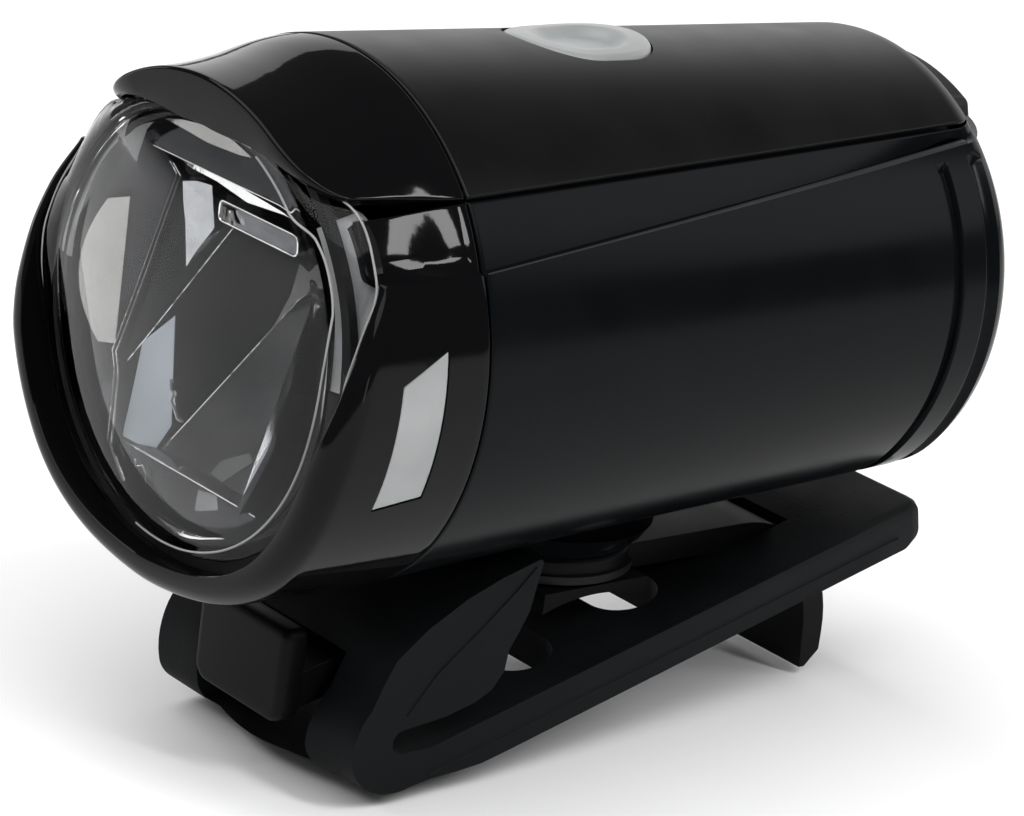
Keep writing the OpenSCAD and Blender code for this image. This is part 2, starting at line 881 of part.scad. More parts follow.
module strap()
{
    tail_end = -deck_front - 1.5;
    run_slots = [-slot_pitch / 2 - 2.5, slot_pitch / 2 - 2.5];
    rear_slot_to = strap_rear - rear_rung;
    color("#15171c") difference()
    {
        along_strap() side_view(strap_w) strap_profile();
        for (turn = [-1, 1]) rotate([0, 0, turn * swivel]) lamp()
            turned() polygon([[0, -far], [body_radius(-far) + tail_gap, -far],
                              [body_radius(2 * far) + tail_gap, 2 * far], [0, 2 * far]]);
        along_strap()
        {
            translate([-slot_w / 2, -far, arm_v - strap_gap])
                cube([slot_w, far, arm_t + 2 * strap_gap]);
            translate([-slot_w / 2, -bend_u, bend_v])
                cube([slot_w, far, arm_v + arm_t + strap_gap - bend_v]);
            for (u = run_slots) translate([0, u, -far]) linear_extrude(2 * far)
                slot_across(slot_w, slot_l);
            translate([-slot_w / 2, rear_slot_from, -far])
                cube([slot_w, rear_slot_to - rear_slot_from, 2 * far]);
        }
        translate([-slot_w / 2, tail_end, 0]) cube([slot_w, far, far]);
    }
}

front_bezel();
hood();
lens();
lens_gasket();
reflector();
led_board();
led_emitter();
heat_sink();
heat_sink_screws();
side_windows();
body_seal();
upper_shell();
lower_shell();
button();
tact_switch();
driver_board();
board_screws();
usb_socket();
usb_flap();
battery_cell();
battery_cradle();
battery_contacts();
swivel_washer();
swivel_screw();
bracket();
saddle_pad();
strap();
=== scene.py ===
import math

import bmesh
import bpy
import numpy as np
from mathutils import Matrix, Vector


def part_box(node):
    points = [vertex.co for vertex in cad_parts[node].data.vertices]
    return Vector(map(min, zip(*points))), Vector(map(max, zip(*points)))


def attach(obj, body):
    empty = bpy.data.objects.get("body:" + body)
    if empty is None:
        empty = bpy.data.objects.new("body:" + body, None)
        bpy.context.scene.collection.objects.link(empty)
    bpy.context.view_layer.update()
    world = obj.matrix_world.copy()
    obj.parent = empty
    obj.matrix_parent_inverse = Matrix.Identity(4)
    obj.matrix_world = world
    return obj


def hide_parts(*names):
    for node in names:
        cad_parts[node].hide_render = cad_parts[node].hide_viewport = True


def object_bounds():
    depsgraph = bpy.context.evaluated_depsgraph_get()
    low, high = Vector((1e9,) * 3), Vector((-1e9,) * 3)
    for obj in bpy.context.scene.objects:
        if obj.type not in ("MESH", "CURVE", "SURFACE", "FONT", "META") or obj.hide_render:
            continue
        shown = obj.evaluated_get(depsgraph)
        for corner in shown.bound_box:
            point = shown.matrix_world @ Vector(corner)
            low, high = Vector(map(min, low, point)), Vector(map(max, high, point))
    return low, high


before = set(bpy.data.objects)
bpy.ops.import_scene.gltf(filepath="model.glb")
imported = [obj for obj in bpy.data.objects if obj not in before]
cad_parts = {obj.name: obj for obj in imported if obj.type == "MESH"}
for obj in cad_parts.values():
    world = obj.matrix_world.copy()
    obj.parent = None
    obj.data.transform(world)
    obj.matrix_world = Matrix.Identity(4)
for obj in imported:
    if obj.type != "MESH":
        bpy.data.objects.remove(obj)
cad_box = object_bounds()

# Camera: the light is seen from its own left front and a little above, through a long lens
# that keeps its lines almost parallel. The picture leans a few degrees to one side.
camera_place = Vector((0.24053, -0.22447, 0.12385))
camera_turn, camera_height, camera_lean = (math.radians(a) for a in (47.685, 18.477, 7.727))
towards_camera = Vector((math.sin(camera_turn) * math.cos(camera_height),
                         -math.cos(camera_turn) * math.cos(camera_height),
                         math.sin(camera_height)))
across = Vector((math.cos(camera_turn), math.sin(camera_turn), 0))
upward = towards_camera.cross(across)
right = across * math.cos(camera_lean) + upward * math.sin(camera_lean)
upright = upward * math.cos(camera_lean) - across * math.sin(camera_lean)
camera_data = bpy.data.cameras.new("camera")
camera_data.sensor_width, camera_data.lens = 36, 139.3
camera_data.clip_start = 0.01
camera = bpy.data.objects.new("camera", camera_data)
turned_axes = Matrix((right, upright, towards_camera)).transposed().to_4x4()
camera.matrix_world = Matrix.Translation(camera_place) @ turned_axes
bpy.context.collection.objects.link(camera)
bpy.context.scene.camera = camera
bpy.context.scene.view_settings.view_transform = "Standard"

# Studio: a white painted floor under one large softbox, a softer wall of light behind the body,
# two small boxes to its right and a strip on each side of the lens. The room is a dim neutral grey.
floor_size, floor_gap = 8.0, 0.0001


def set_inputs(node, values):
    """Sets a shader node's own sockets."""
    for socket, value in values.items():
        node.inputs[socket].default_value = value


floor_mesh = bmesh.new()
bmesh.ops.create_grid(floor_mesh, x_segments=2, y_segments=2, size=floor_size / 2)
floor_data = bpy.data.meshes.new("floor")
floor_mesh.to_mesh(floor_data)
floor = bpy.data.objects.new("floor", floor_data)
floor.location.z = cad_box[0].z - floor_gap
bpy.context.collection.objects.link(floor)
floor_paint = bpy.data.materials.new("floor_paint")
floor_paint.use_nodes = True
set_inputs(floor_paint.node_tree.nodes["Principled BSDF"],
           {"Base Color": (0.9, 0.9, 0.9, 1), "Roughness": 0.9, "Specular IOR Level": 0.0})
floor_data.materials.append(floor_paint)
room = bpy.data.worlds.new("room")
room.use_nodes = True
set_inputs(room.node_tree.nodes["Background"], {"Color": (1, 1, 1, 1), "Strength": 0.1})
bpy.context.scene.world = room


def softbox(name, place, aim, width, height, brightness):
    """A flat lamp of even brightness, turned to face a point and left out of the picture itself."""
    lamp = bpy.data.lights.new(name, "AREA")
    lamp.shape, lamp.size, lamp.size_y = "RECTANGLE", width, height
    lamp.energy = 4 * brightness * width * height
    holder = bpy.data.objects.new(name, lamp)
    holder.location = place
    holder.rotation_euler = (Vector(aim) - Vector(place)).to_track_quat("-Z", "Y").to_euler()
    holder.visible_camera = False
    bpy.context.collection.objects.link(holder)


middle = (cad_box[0] + cad_box[1]) / 2
softbox("overhead_softbox", (-0.1, -0.8, 1.25), (-0.1, -0.8, 0), 2.4, 1.8, 2.3)
softbox("rear_wall", (-0.55, 0.8, 0.34), (0, 0, 0.05), 1.7, 0.58, 0.9)
softbox("rear_side_box", (0.52, 0.8, 0.5), middle, 0.36, 0.46, 1.4)
softbox("right_box", (0.62, 0.22, 0.74), middle, 0.1, 0.54, 20.0)
softbox("side_strip", (0.8, -0.2, 0.0), middle, 0.12, 0.3, 2.5)
softbox("left_strip", (-0.75, -0.28, 0.1), middle, 0.12, 0.4, 3.0)

# Upper shell: the top cover of the body, moulded in black plastic with a fine satin texture.
# It meets the lower shell along the side, the hood at the front, and is pierced for the button.
MM = 0.001
seam = 0.08
joint_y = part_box("upper_shell")[0].y
axis_z = (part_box("body_seal")[0].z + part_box("body_seal")[1].z) / 2
body_r = 23.0
body_len = 63.0
body_taper = 2.3
rear_round = 3.8
shell_wall = 1.8
edge_round, sharp_angle = 0.2, 32
split_front, split_rise = 14.9, 1.0
button_y, button_wide, button_long = 25.2, 10.6, 13.4
button_clear, hole_low, hole_high = 0.15, 17, 26


def lamp_point(x, y, z):
    """A point given in the lamp's own millimetres: y back from the bezel joint, z from the axis."""
    return Vector((x * MM, joint_y + y * MM, axis_z + z * MM))


def round_point(r, turn, y):
    """A point on a circle about the lamp's axis."""
    return lamp_point(r * math.cos(turn), y, r * math.sin(turn))


def arc(first, last, steps):
    """Evenly spaced angles between two that are given in degrees."""
    return np.radians(np.linspace(first, last, steps))


def soft_step(low, high, value):
    share = np.clip((np.asarray(value, float) - low) / (high - low), 0, 1)
    return share * share * (3 - 2 * share)


def rounding(distance, radius):
    """How far a rounded edge lies below its face at this distance from the edge."""
    reach = np.clip(radius - np.asarray(distance, float), 0, radius)
    return radius - np.sqrt(radius * radius - reach * reach)


def body_stations(first):
    """Stations along the body as (y, radius), closer together at the joint, grooves and rear edge."""
    plain = np.unique(np.concatenate([
        first + np.array([0, 0.04, 0.09, 0.14, 0.2, 0.5]), np.linspace(1.2, 53, 40),
        np.linspace(53.4, body_len - rear_round, 66)]))
    stations = [(y, body_r - body_taper * y / body_len - rounding(y - first, edge_round)) for y in plain]
    end_r = body_r - body_taper * plain[-1] / body_len - rear_round
    for angle in arc(0, 90, 13)[1:]:
        stations.append((body_len - rear_round + rear_round * math.sin(angle),
                         end_r + rear_round * math.cos(angle)))
    return stations


def split_height(y):
    return split_front + split_rise * y / body_len


def skin(rows, ring=False, capped=False):
    """Faces over rows of points; a ring row closes on itself, and caps close the first and last."""
    mesh = bmesh.new()
    grid = [[mesh.verts.new(point) for point in row] for row in rows]
    count = len(grid[0])
    for row, following in zip(grid, grid[1:]):
        for j in range(count if ring else count - 1):
            k = (j + 1) % count
            mesh.faces.new((row[j], row[k], following[k], following[j]))
    if capped:
        mesh.faces.new(grid[0])
        mesh.faces.new(grid[-1][::-1])
    bmesh.ops.remove_doubles(mesh, verts=mesh.verts, dist=1e-6)
    bmesh.ops.recalc_face_normals(mesh, faces=mesh.faces)
    return mesh


def solid(rows):
    """A closed body over rings of points."""
    return skin(rows, ring=True, capped=True)


def plate(outline, place, near, far):
    """A plate: an outline pushed from one level to another."""
    return solid([[place(a, b, level) for a, b in outline] for level in (near, far)])


def face_outward(mesh, centre):
    """Turns the faces of an open skin so that most of them look away from its middle."""
    votes = sum((face.calc_center_median() - centre).dot(face.normal) for face in mesh.faces)
    if votes < 0:
        bmesh.ops.reverse_faces(mesh, faces=mesh.faces)


def close_end(mesh, ring, holes=()):
    """Fills a flat rear end, leaving its holes open."""
    edges = [mesh.edges.get(pair) or mesh.edges.new(pair) for pair in zip(ring, ring[1:] + ring[:1])]
    for hole in holes:
        corners = [mesh.verts.new(point) for point in hole]
        edges += [mesh.edges.new(pair) for pair in zip(corners, corners[1:] + corners[:1])]
    bmesh.ops.triangle_fill(mesh, edges=edges, use_beauty=True, use_dissolve=False)


def piece(name, mesh, material, body, nodes=(), crease=sharp_angle):
    """Makes and shades the object with real edges kept, hangs it on its body, hides the parts it replaces."""
    data = bpy.data.meshes.new(name)
    mesh.to_mesh(data)
    mesh.free()
    data.shade_smooth()
    data.set_sharp_from_angle(angle=math.radians(crease))
    data.materials.append(material)
    made = bpy.data.objects.new(name, data)
    bpy.context.collection.objects.link(made)
    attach(made, body)
    if nodes:
        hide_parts(*nodes)
    return made


def thicken(made, wall):
    layer = made.modifiers.new("wall", "SOLIDIFY")
    layer.thickness, layer.offset = wall * MM, -1


def cut_away(made, mesh):
    """Cuts a closed shape out of a piece for good, so that no cutter stays in the scene."""
    data = bpy.data.meshes.new("cutter")
    mesh.to_mesh(data)
    mesh.free()
    cutter = bpy.data.objects.new("cutter", data)
    bpy.context.collection.objects.link(cutter)
    cut = made.modifiers.new("cut", "BOOLEAN")
    cut.object, cut.operation, cut.solver = cutter, "DIFFERENCE", "EXACT"
    bpy.context.view_layer.update()
    shaped = bpy.data.meshes.new_from_object(made.evaluated_get(bpy.context.evaluated_depsgraph_get()))
    made.modifiers.clear()
    old, made.data = made.data, shaped
    bpy.data.meshes.remove(old)
    bpy.data.objects.remove(cutter)
    made.data.set_sharp_from_angle(angle=math.radians(sharp_angle))


cloud_scale, cloud_low, cloud_high = 140, 0.3, 0.7


def finish(name, colour, roughness, grain=0.0, grain_size=0.25, drift=0.12, gloss_drift=0.03,
           specular=0.5, sockets=()):
    """A moulded, plated or cut surface: colour and gloss drift a little and a fine grain lifts it."""
    material = bpy.data.materials.new(name)
    material.use_nodes = True
    nodes, links = material.node_tree.nodes, material.node_tree.links
    shader = nodes["Principled BSDF"]
    set_inputs(shader, {"Specular IOR Level": specular, **dict(sockets)})
    where = nodes.new("ShaderNodeTexCoord")
    cloud = nodes.new("ShaderNodeTexNoise")
    set_inputs(cloud, {"Scale": cloud_scale, "Detail": 5})
    links.new(where.outputs["Object"], cloud.inputs["Vector"])
    tint = nodes.new("ShaderNodeValToRGB")
    for stop, place, share in zip(tint.color_ramp.elements, (cloud_low, cloud_high), (1 - drift, 1 + drift)):
        stop.position, stop.color = place, (*[min(1, c * share) for c in colour], 1)
    links.new(cloud.outputs["Fac"], tint.inputs["Fac"])
    links.new(tint.outputs["Color"], shader.inputs["Base Color"])
    gloss = nodes.new("ShaderNodeMapRange")
    set_inputs(gloss, {"From Min": cloud_low, "From Max": cloud_high,
                       "To Min": max(0.0, roughness - gloss_drift), "To Max": roughness + gloss_drift})
    links.new(cloud.outputs["Fac"], gloss.inputs["Value"])
    links.new(gloss.outputs["Result"], shader.inputs["Roughness"])
    if grain:
        pebble = nodes.new("ShaderNodeTexNoise")
        set_inputs(pebble, {"Scale": 1 / (grain_size * MM), "Detail": 2})
        links.new(where.outputs["Object"], pebble.inputs["Vector"])
        relief = nodes.new("ShaderNodeBump")
        set_inputs(relief, {"Strength": grain, "Distance": grain_size * MM * 0.3})
        links.new(pebble.outputs["Fac"], relief.inputs["Height"])
        links.new(relief.outputs["Normal"], shader.inputs["Normal"])
    return material


def stadium(wide, long, steps=24):
    """Outline of a slot with round ends, as (x, y) from its middle."""
    half = (long - wide) / 2
    outline = []
    for side in (1, -1):
        for angle in np.linspace(-90, 90, steps):
            turn = math.radians(angle)
            outline.append((wide / 2 * math.sin(turn) * -side, side * (half + wide / 2 * math.cos(turn))))
    return outline


satin_black = finish("satin_black_plastic", (0.0016, 0.0016, 0.0018), 0.34, grain=0.14, grain_size=0.16,
                     specular=0.155)
upper_rows = []
for y, r in body_stations(seam):
    edge = math.asin((split_height(y) + seam) / r)
    reach = (math.pi - 2 * edge) * r
    steps = np.concatenate([[0, 0.05, 0.12, 0.2, 0.3, 0.6], np.linspace(1.2, reach - 1.2, 60),
                            reach - np.array([0.6, 0.3, 0.2, 0.12, 0.05, 0])])
    low = rounding(np.minimum(steps, reach - steps), edge_round)
    upper_rows.append([round_point(r - d, edge + s / r, y) for s, d in zip(steps, low)])
upper_mesh = skin(upper_rows)
rear_row = [v for v in upper_mesh.verts if abs(v.co.y - upper_rows[-1][0].y) < 1e-7]
rear_row.sort(key=lambda v: math.atan2(v.co.z - axis_z, v.co.x))
close_end(upper_mesh, rear_row)
face_outward(upper_mesh, lamp_point(0, body_len / 2, 0))
upper_shell = piece("upper_shell_cover", upper_mesh, satin_black, "light",
                    ["upper_shell"])
thicken(upper_shell, shell_wall)
button_hole = [(x, y + button_y) for x, y in stadium(button_wide + 2 * button_clear,
                                                     button_long + 2 * button_clear)]
cut_away(upper_shell, plate(button_hole, lamp_point, hole_low, hole_high))

# Lower shell: the main body moulding, in a smoother blue-black plastic. A long crease with a cut
# edge runs up the side to a recessed strip, two grooves ring the tail, and the belly is flatter.
crease_front, crease_rise = 9.8, 5.0
strip_depth, strip_lift, crease_width, crease_growth = 0.5, 0.75, 0.35, 1.4
groove_middles, groove_half, groove_depth, groove_edge = (54.8, 59.1), 0.6, 0.6, 0.15
port_lo, port_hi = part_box("usb_socket")
foot_r, foot_low = 7.0, (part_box("lower_shell")[0].z - axis_z) / MM
blue_black = finish("blue_black_plastic", (0.0028, 0.0035, 0.0042), 0.2, grain=0.04, grain_size=0.22,
                    specular=0.06)


def crease_height(y):
    return crease_front + crease_rise * y / body_len


belly_flat, belly_from, belly_to = 2.1, math.radians(-42), math.radians(-85)
belly_start, belly_full, belly_front = 1.0, 20.0, 0.6


def side_half(y, r, top, groove):
    """One side of the body from the split down to the keel, as (angle, depth below the round)."""
    edge = math.asin(top / r)
    low = math.asin(crease_height(y) / r)
    grown = 1 + crease_growth * y / body_len
    belly_share = belly_front + (1 - belly_front) * float(soft_step(belly_start, belly_full, y))
    high = low + crease_width * grown / r
    recess = strip_depth * grown * float(soft_step(body_len, body_len - rear_round - 1.5, y))
    strip = edge - np.array([0, 0.05, 0.12, 0.2, 0.3]) / r
    strip = np.concatenate([strip, np.linspace(strip[-1], high, 12)[1:]])
    slope = np.linspace(high, low, 9)[1:]
    below = np.concatenate([low - np.array([0.15, 0.4, 0.7, 1.0, 1.4, 1.8, 2.2]) / r,
                            np.linspace(low - 2.6 / r, -math.pi / 2, 56)])
    angles = np.concatenate([strip, slope, below])
    lifted = 1 - strip_lift * np.clip((strip - high) / (edge - high), 0, 1)
    depth = np.concatenate([recess * lifted + rounding((edge - strip) * r, edge_round),
                            recess * np.clip((slope - low) / (high - low), 0, 1),
                            groove * soft_step(1.0, 1.8, (low - below) * r)
                            + belly_flat * belly_share * soft_step(belly_from, belly_to, below)])
    return list(zip(angles, depth))


lower_rows = []
for y, r in body_stations(seam):
    groove = sum(groove_depth * soft_step(groove_half + groove_edge, groove_half - groove_edge, abs(y - m))
                 for m in groove_middles)
    half = side_half(y, r, split_height(y) - seam, groove)
    row = [round_point(r - d, a, y) for a, d in half]
    mirrored = [lamp_point(-(r - d) * math.cos(a), y, (r - d) * math.sin(a)) for a, d in half[-2::-1]]
    lower_rows.append(row + mirrored)
lower_mesh = skin(lower_rows)
rear_row = [v for v in lower_mesh.verts if abs(v.co.y - lower_rows[-1][0].y) < 1e-7]
rear_row.sort(key=lambda v: math.atan2(-v.co.x, v.co.z - axis_z))
port_margin = 0.4 * MM
port_hole = [Vector((x, joint_y + body_len * MM, z)) for x, z in (
    (port_lo.x - port_margin, port_lo.z - port_margin), (port_hi.x + port_margin, port_lo.z - port_margin),
    (port_hi.x + port_margin, port_hi.z + port_margin), (port_lo.x - port_margin, port_hi.z + port_margin))]
close_end(lower_mesh, rear_row, [port_hole])
face_outward(lower_mesh, lamp_point(0, body_len / 2, 0))
lower_shell = piece("lower_shell_body", lower_mesh, blue_black, "light",
                    ["lower_shell"])
thicken(lower_shell, shell_wall)

# Crease ridge: the edge along the lower shell's crease, a bead of the same plastic painted several times
# paler as a painted highlight for the light the edge catches. It is moulded with the shell, fine at the
# bezel and wider towards the rear.
both_sides = ((1, "left"), (-1, "right"))
ridge_front, ridge_rear = 0.12, 0.75
# Its pale colour is a painted highlight, not the plastic's own colour.
crease_highlight_paint = finish("crease_plastic_painted_highlight", (0.019, 0.018, 0.019), 0.35, specular=0.3)


def bead(points, radius, sides=8):
    """A thin round rib along a line of points; its radius may change along the line."""
    rings = []
    for j, (point, thick) in enumerate(zip(points, np.broadcast_to(radius, len(points)))):
        along = (points[min(j + 1, len(points) - 1)] - points[max(j - 1, 0)]).normalized()
        first = along.cross(Vector((0.31, 0.86, 0.4))).normalized()
        second = along.cross(first)
        rings.append([point + (first * math.cos(t) + second * math.sin(t)) * float(thick) * MM
                      for t in np.linspace(0, 2 * math.pi, sides + 1)[:-1]])
    return solid(rings)


for side, word in both_sides:
    ridge_y = np.linspace(0.3, body_len - rear_round, 50)
    ridge_r = ridge_front + (ridge_rear - ridge_front) * (ridge_y / body_len) ** 1.5
    ridge_line = []
    for y, thick in zip(ridge_y, ridge_r):
        r = body_r - body_taper * y / body_len
        angle = math.asin(crease_height(y) / r)
        ridge_line.append(lamp_point(side * (r - thick) * math.cos(angle), y, (r - thick) * math.sin(angle)))
    piece(f"crease_ridge_{word}", bead(ridge_line, ridge_r, 20), crease_highlight_paint, "light")

# Swivel foot: a round boss under the body, moulded in the same plastic and blended into it.
# It drops into the deck of the bracket and turns there.
foot_profile = [(0, -20.5), (9.6, -20.6), (9.0, -21.6), (8.2, -22.4), (7.5, -23.0), (foot_r, -23.6),
                (foot_r, foot_low + 0.3), (foot_r - 0.3, foot_low), (0, foot_low)]
foot_turns = np.linspace(0, 2 * math.pi, 73)[:-1]
foot_y = -joint_y / MM
foot_mesh = skin([[lamp_point(r * math.cos(t), foot_y + r * math.sin(t), z) for t in foot_turns]
                  for r, z in foot_profile], ring=True)
piece("swivel_foot", foot_mesh, blue_black, "light")

# Front bezel: a ring in piano-gloss black plastic that screws the lens down, with a round lip.
# Its upper edge carries the body's crease forward, and a notch each side lets the lens wing out.
lip_y, lip_round, lip_inner = -14.9, 3.0, 20.4
wing_y = -9.9
bezel_wall = 1.8
gloss_black = finish("gloss_black_plastic", (0.003, 0.003, 0.0034), 0.05, drift=0.05, gloss_drift=0.015,
                     grain=0.012, grain_size=1.6, specular=0.11)
notch_heights = [-6.5, -3.4, -0.5, 2.7, 6.4, 9.4, 9.8]
notch_fronts = [lip_y, -14.5, -13.8, -13.0, -11.7, -10.1, wing_y]
notch_inner = [lip_inner, 20.5, 20.8, 21.2, 21.7, 22.2, 22.3]


def eased(z, heights, values):
    """A smooth run through measured stations."""
    return float(np.mean(np.interp(z + np.linspace(-0.8, 0.8, 7), heights, values)))


hood_line_y = [-16, -10.8, -7.8, -5.7, -3.7, -1.6, 0]
hood_line_r = [20.95, 21.1, 21.45, 21.8, 22.3, 22.78, 23.0]


def hood_radius(y):
    """How the top dips towards the front: the hood and the strip under it share this line."""
    spots = np.minimum(y + np.linspace(-1.8, 1.8, 9), 0)
    return float(np.mean(np.interp(spots, hood_line_y, hood_line_r)))


bezel_rows = []
half = side_half(0, body_r, split_front - seam, 0.0)
around = half + [(math.pi - a, d) for a, d in half[-2::-1]]
for angle, depth in around:
    x, z = math.cos(angle), math.sin(angle)
    front = eased(body_r * z, notch_heights, notch_fronts)
    inner = eased(body_r * z, notch_heights, notch_inner)
    share = (inner - lip_inner) / (notch_inner[-1] - lip_inner)
    inner = min(inner, body_r - depth - 0.25) - depth * (1 - share)
    lip = min(lip_round, 0.78 * (body_r - depth - inner))
    dip = float(soft_step(crease_front + 0.1, crease_front + 1.4, body_r * z))
    outer = [(-seam - s, body_r - depth - float(rounding(s, edge_round))) for s in (0, 0.04, 0.09, 0.14, 0.2)]
    outer += [(y, body_r - depth - dip * (body_r - hood_radius(y)))
              for y in np.linspace(-0.8, front + lip, 26)]
    end_r = outer[-1][1]
    inner = min(inner, end_r - 0.25)
    lip = min(lip, end_r - inner)
    outer += [(front + lip - lip * math.sin(t), end_r - lip + lip * math.cos(t))
              for t in arc(0, 90, 13)[1:]]
    face_r = end_r - lip
    outer += [(front, face_r + (inner - face_r) * 0.7), (front + 0.03, inner + 0.06), (front + 0.12, inner)]
    back_r = end_r - bezel_wall
    outer += [(min(front + 2.0, -9.4), min(inner, back_r + 1.2 * share)), (-9.2, back_r - 0.2),
              (-6, back_r), (-seam, back_r)]
    bezel_rows.append([lamp_point(r * x, y, r * z) for y, r in outer])
bezel = piece("front_bezel_ring", solid(bezel_rows), gloss_black, "light",
              ["front_bezel"], crease=40)

# Side windows: pale grey plates let into each side of the bezel, so that light leaks out sideways.
# They sit a hair below the gloss black round them.
window_corners = [(-4.2, 4.6), (-8.6, 2.2), (-9.1, -8.3), (-4.4, -7.7)]
window_gap, window_sink, window_depth = 0.12, 0.06, 1.2
window_plastic = finish("window_plastic", (0.31, 0.315, 0.32), 0.38, grain=0.05, grain_size=0.3,
                        sockets={"Subsurface Weight": 0.3, "Subsurface Scale": 0.002})


def window_patch(grow, outer, inner, side, steps=16):
    """A plate over the window's four corners that follows the round of the bezel."""
    centre = np.mean(window_corners, axis=0)
    corners = [np.array(c) + grow * (np.array(c) - centre) / np.linalg.norm(np.array(c) - centre)
               for c in window_corners]
    def grid(radius):
        rows = []
        for a in np.linspace(0, 1, steps):
            row = []
            for b in np.linspace(0, 1, steps):
                near = (1 - b) * corners[0] + b * corners[1]
                far = (1 - b) * corners[3] + b * corners[2]
                y, z = (1 - a) * near + a * far
                row.append(lamp_point(side * math.sqrt(radius * radius - z * z), y, z))
            rows.append(row)
        return rows
    front, back = grid(outer), grid(inner)
    mesh = bmesh.new()
    skins = [[[mesh.verts.new(p) for p in row] for row in rows] for rows in (front, back)]
    for rows in skins:
        for row, following in zip(rows, rows[1:]):
            for j in range(steps - 1):
                mesh.faces.new((row[j], row[j + 1], following[j + 1], following[j]))
    rims = [rows[0] + [row[-1] for row in rows[1:]] + rows[-1][-2::-1] + [row[0] for row in rows[-2:0:-1]]
            for rows in skins]
    count = len(rims[0])
    for j in range(count):
        mesh.faces.new((rims[0][j], rims[0][(j + 1) % count], rims[1][(j + 1) % count], rims[1][j]))
    bmesh.ops.recalc_face_normals(mesh, faces=mesh.faces)
    return mesh


for side, word in both_sides:
    cut_away(bezel, window_patch(window_gap, body_r + 1, body_r - window_depth, side))
    window = piece(f"side_window_{word}", window_patch(0, body_r - window_sink, body_r - window_depth, side),
                   window_plastic, "light")
    rim = window.modifiers.new("soft_edge", "BEVEL")
    rim.width, rim.segments, rim.limit_method = 0.15 * MM, 3, "ANGLE"
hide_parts("side_windows")

# Hood: a piano-gloss black cap over the lamp. It dips towards its front lip, a crescent face that
# thins to each side, and its front corners curve back to the side strips. It clips to the bezel.
hood_reach, hood_wall = 13.7, 1.4
corner_long, corner_high = 5.2, 4.0
crescent_top, crescent_side, lip_edge = 3.9, 0.7, 0.3


def hood_front(z):
    """How far forward the hood reaches at this height: its corner is a quarter of an ellipse."""
    rise = min(max((split_front + corner_high - z) / corner_high, 0.0), 1.0)
    return -hood_reach + corner_long * (1 - math.sqrt(1 - rise * rise))


hood_rows = []
half_turn = np.concatenate([[0, 0.002, 0.005, 0.01, 0.018, 0.03], np.linspace(0.045, 1, 84)])
for share in np.concatenate([half_turn, 2 - half_turn[-2::-1]]):
    near, sign = min(share, 2 - share), 1 if share <= 1 else -1

    def hood_point(y, inset):
        r = hood_radius(y)
        base = math.asin((split_front + seam) / r)
        angle = base + near * (math.pi / 2 - base)
        r -= inset + float(rounding(near * 17.0, edge_round))
        return lamp_point(sign * r * math.cos(angle), y, r * math.sin(angle))

    front_base = math.asin((split_front + seam) / hood_radius(-hood_reach))
    front = hood_front(hood_radius(-hood_reach) * math.sin(front_base + near * (math.pi / 2 - front_base)))
    thick = crescent_side + (crescent_top - crescent_side) * float(soft_step(0.0, 0.9, near))
    ys = np.concatenate([-seam - np.array([0, 0.05, 0.12, 0.2, 0.3]),
                         np.linspace(-0.8, front + lip_edge, 40)])
    row = [hood_point(y, float(rounding(-seam - y, edge_round))) for y in ys]
    row += [hood_point(front + lip_edge * (1 - math.sin(t)), lip_edge * (1 - math.cos(t)))
            for t in arc(0, 90, 7)[1:]]
    row += [hood_point(front + 0.25 * s * s, lip_edge + s * (thick - lip_edge))
            for s in np.linspace(0, 1, 9)[1:]]
    row += [hood_point(y, inset) for y, inset in (
        (front + 0.4, thick + 0.08), (front + 0.7, thick + 0.1), (front + 1.4, thick),
        (front + 1.6, min(hood_wall, thick)), (front / 2, hood_wall), (-seam, hood_wall))]
    hood_rows.append(row)
piece("hood_cap", solid(hood_rows), gloss_black, "light",
      ["hood"], crease=40)

# Reflector: a moulded bowl in one metal coat, laid here as copies of different brightness: the near-black
# and darker copies are painted shade and the paler ones painted reflection. A folded shield stands in it
# between an upper shelf and a lower step, with bright upright edges, a satin panel on each flank and a lamp
# shade.
mouth_r, mouth_y, bowl_depth = 17.6, -9.6, 11.6
shelf_z, step_z, shelf_y, step_y = 11.8, -12.6, -9.2, -10.6
shield_half, shield_low_half, shield_corner_z, shield_r = 11.2, 8.85, -5.6, 16.1
fin_high, fin_wide, fold_bead, edge_bead = 0.7, 0.5, 0.07, 0.09


def mirror_coat(name, colour, roughness, drift, **grain):
    """A thin metal coat laid on the moulding."""
    return finish(name, colour, roughness, drift=drift, sockets={"Metallic": 1.0}, **grain)


def mirror_piece(name, mesh, coat, nodes=(), crease=sharp_angle):
    return piece(name, mesh, coat, "light", nodes, crease)


# These coats are one chrome in copies of different brightness: the dark and black ones are painted shade, the
# grey one painted reflection.
painted_shade_coat = mirror_coat("mirror_painted_shade", (0.13, 0.13, 0.136), 0.06, 0.3)
painted_deep_shade_coat = mirror_coat("mirror_painted_deep_shade", (0.021, 0.021, 0.023), 0.06, 0.4)
painted_half_light_coat = mirror_coat("mirror_painted_half_light", (0.42, 0.42, 0.43), 0.09, 0.35)
bright_coat = mirror_coat("bright_mirror_coat", (0.8, 0.79, 0.78), 0.12, 0.15, grain=0.25, grain_size=1.1)
satin_coat = mirror_coat("satin_mirror_coat", (0.56, 0.6, 0.65), 0.5, 0.06)


def bowl_y(r):
    return mouth_y + bowl_depth * (1 - (r / mouth_r) ** 2)


def fold_middle(z):
    return max(1.185 - 0.354 * z, 0.0)


def shield_edge(z):
    """Half the shield's width at this height."""
    return min(float(np.interp(z, [step_z, shield_corner_z], [shield_low_half, shield_half])),
               math.sqrt(shield_r ** 2 - z * z))


def fold_outer(z):
    return min(8.83 - 0.271 * z, shield_edge(z))


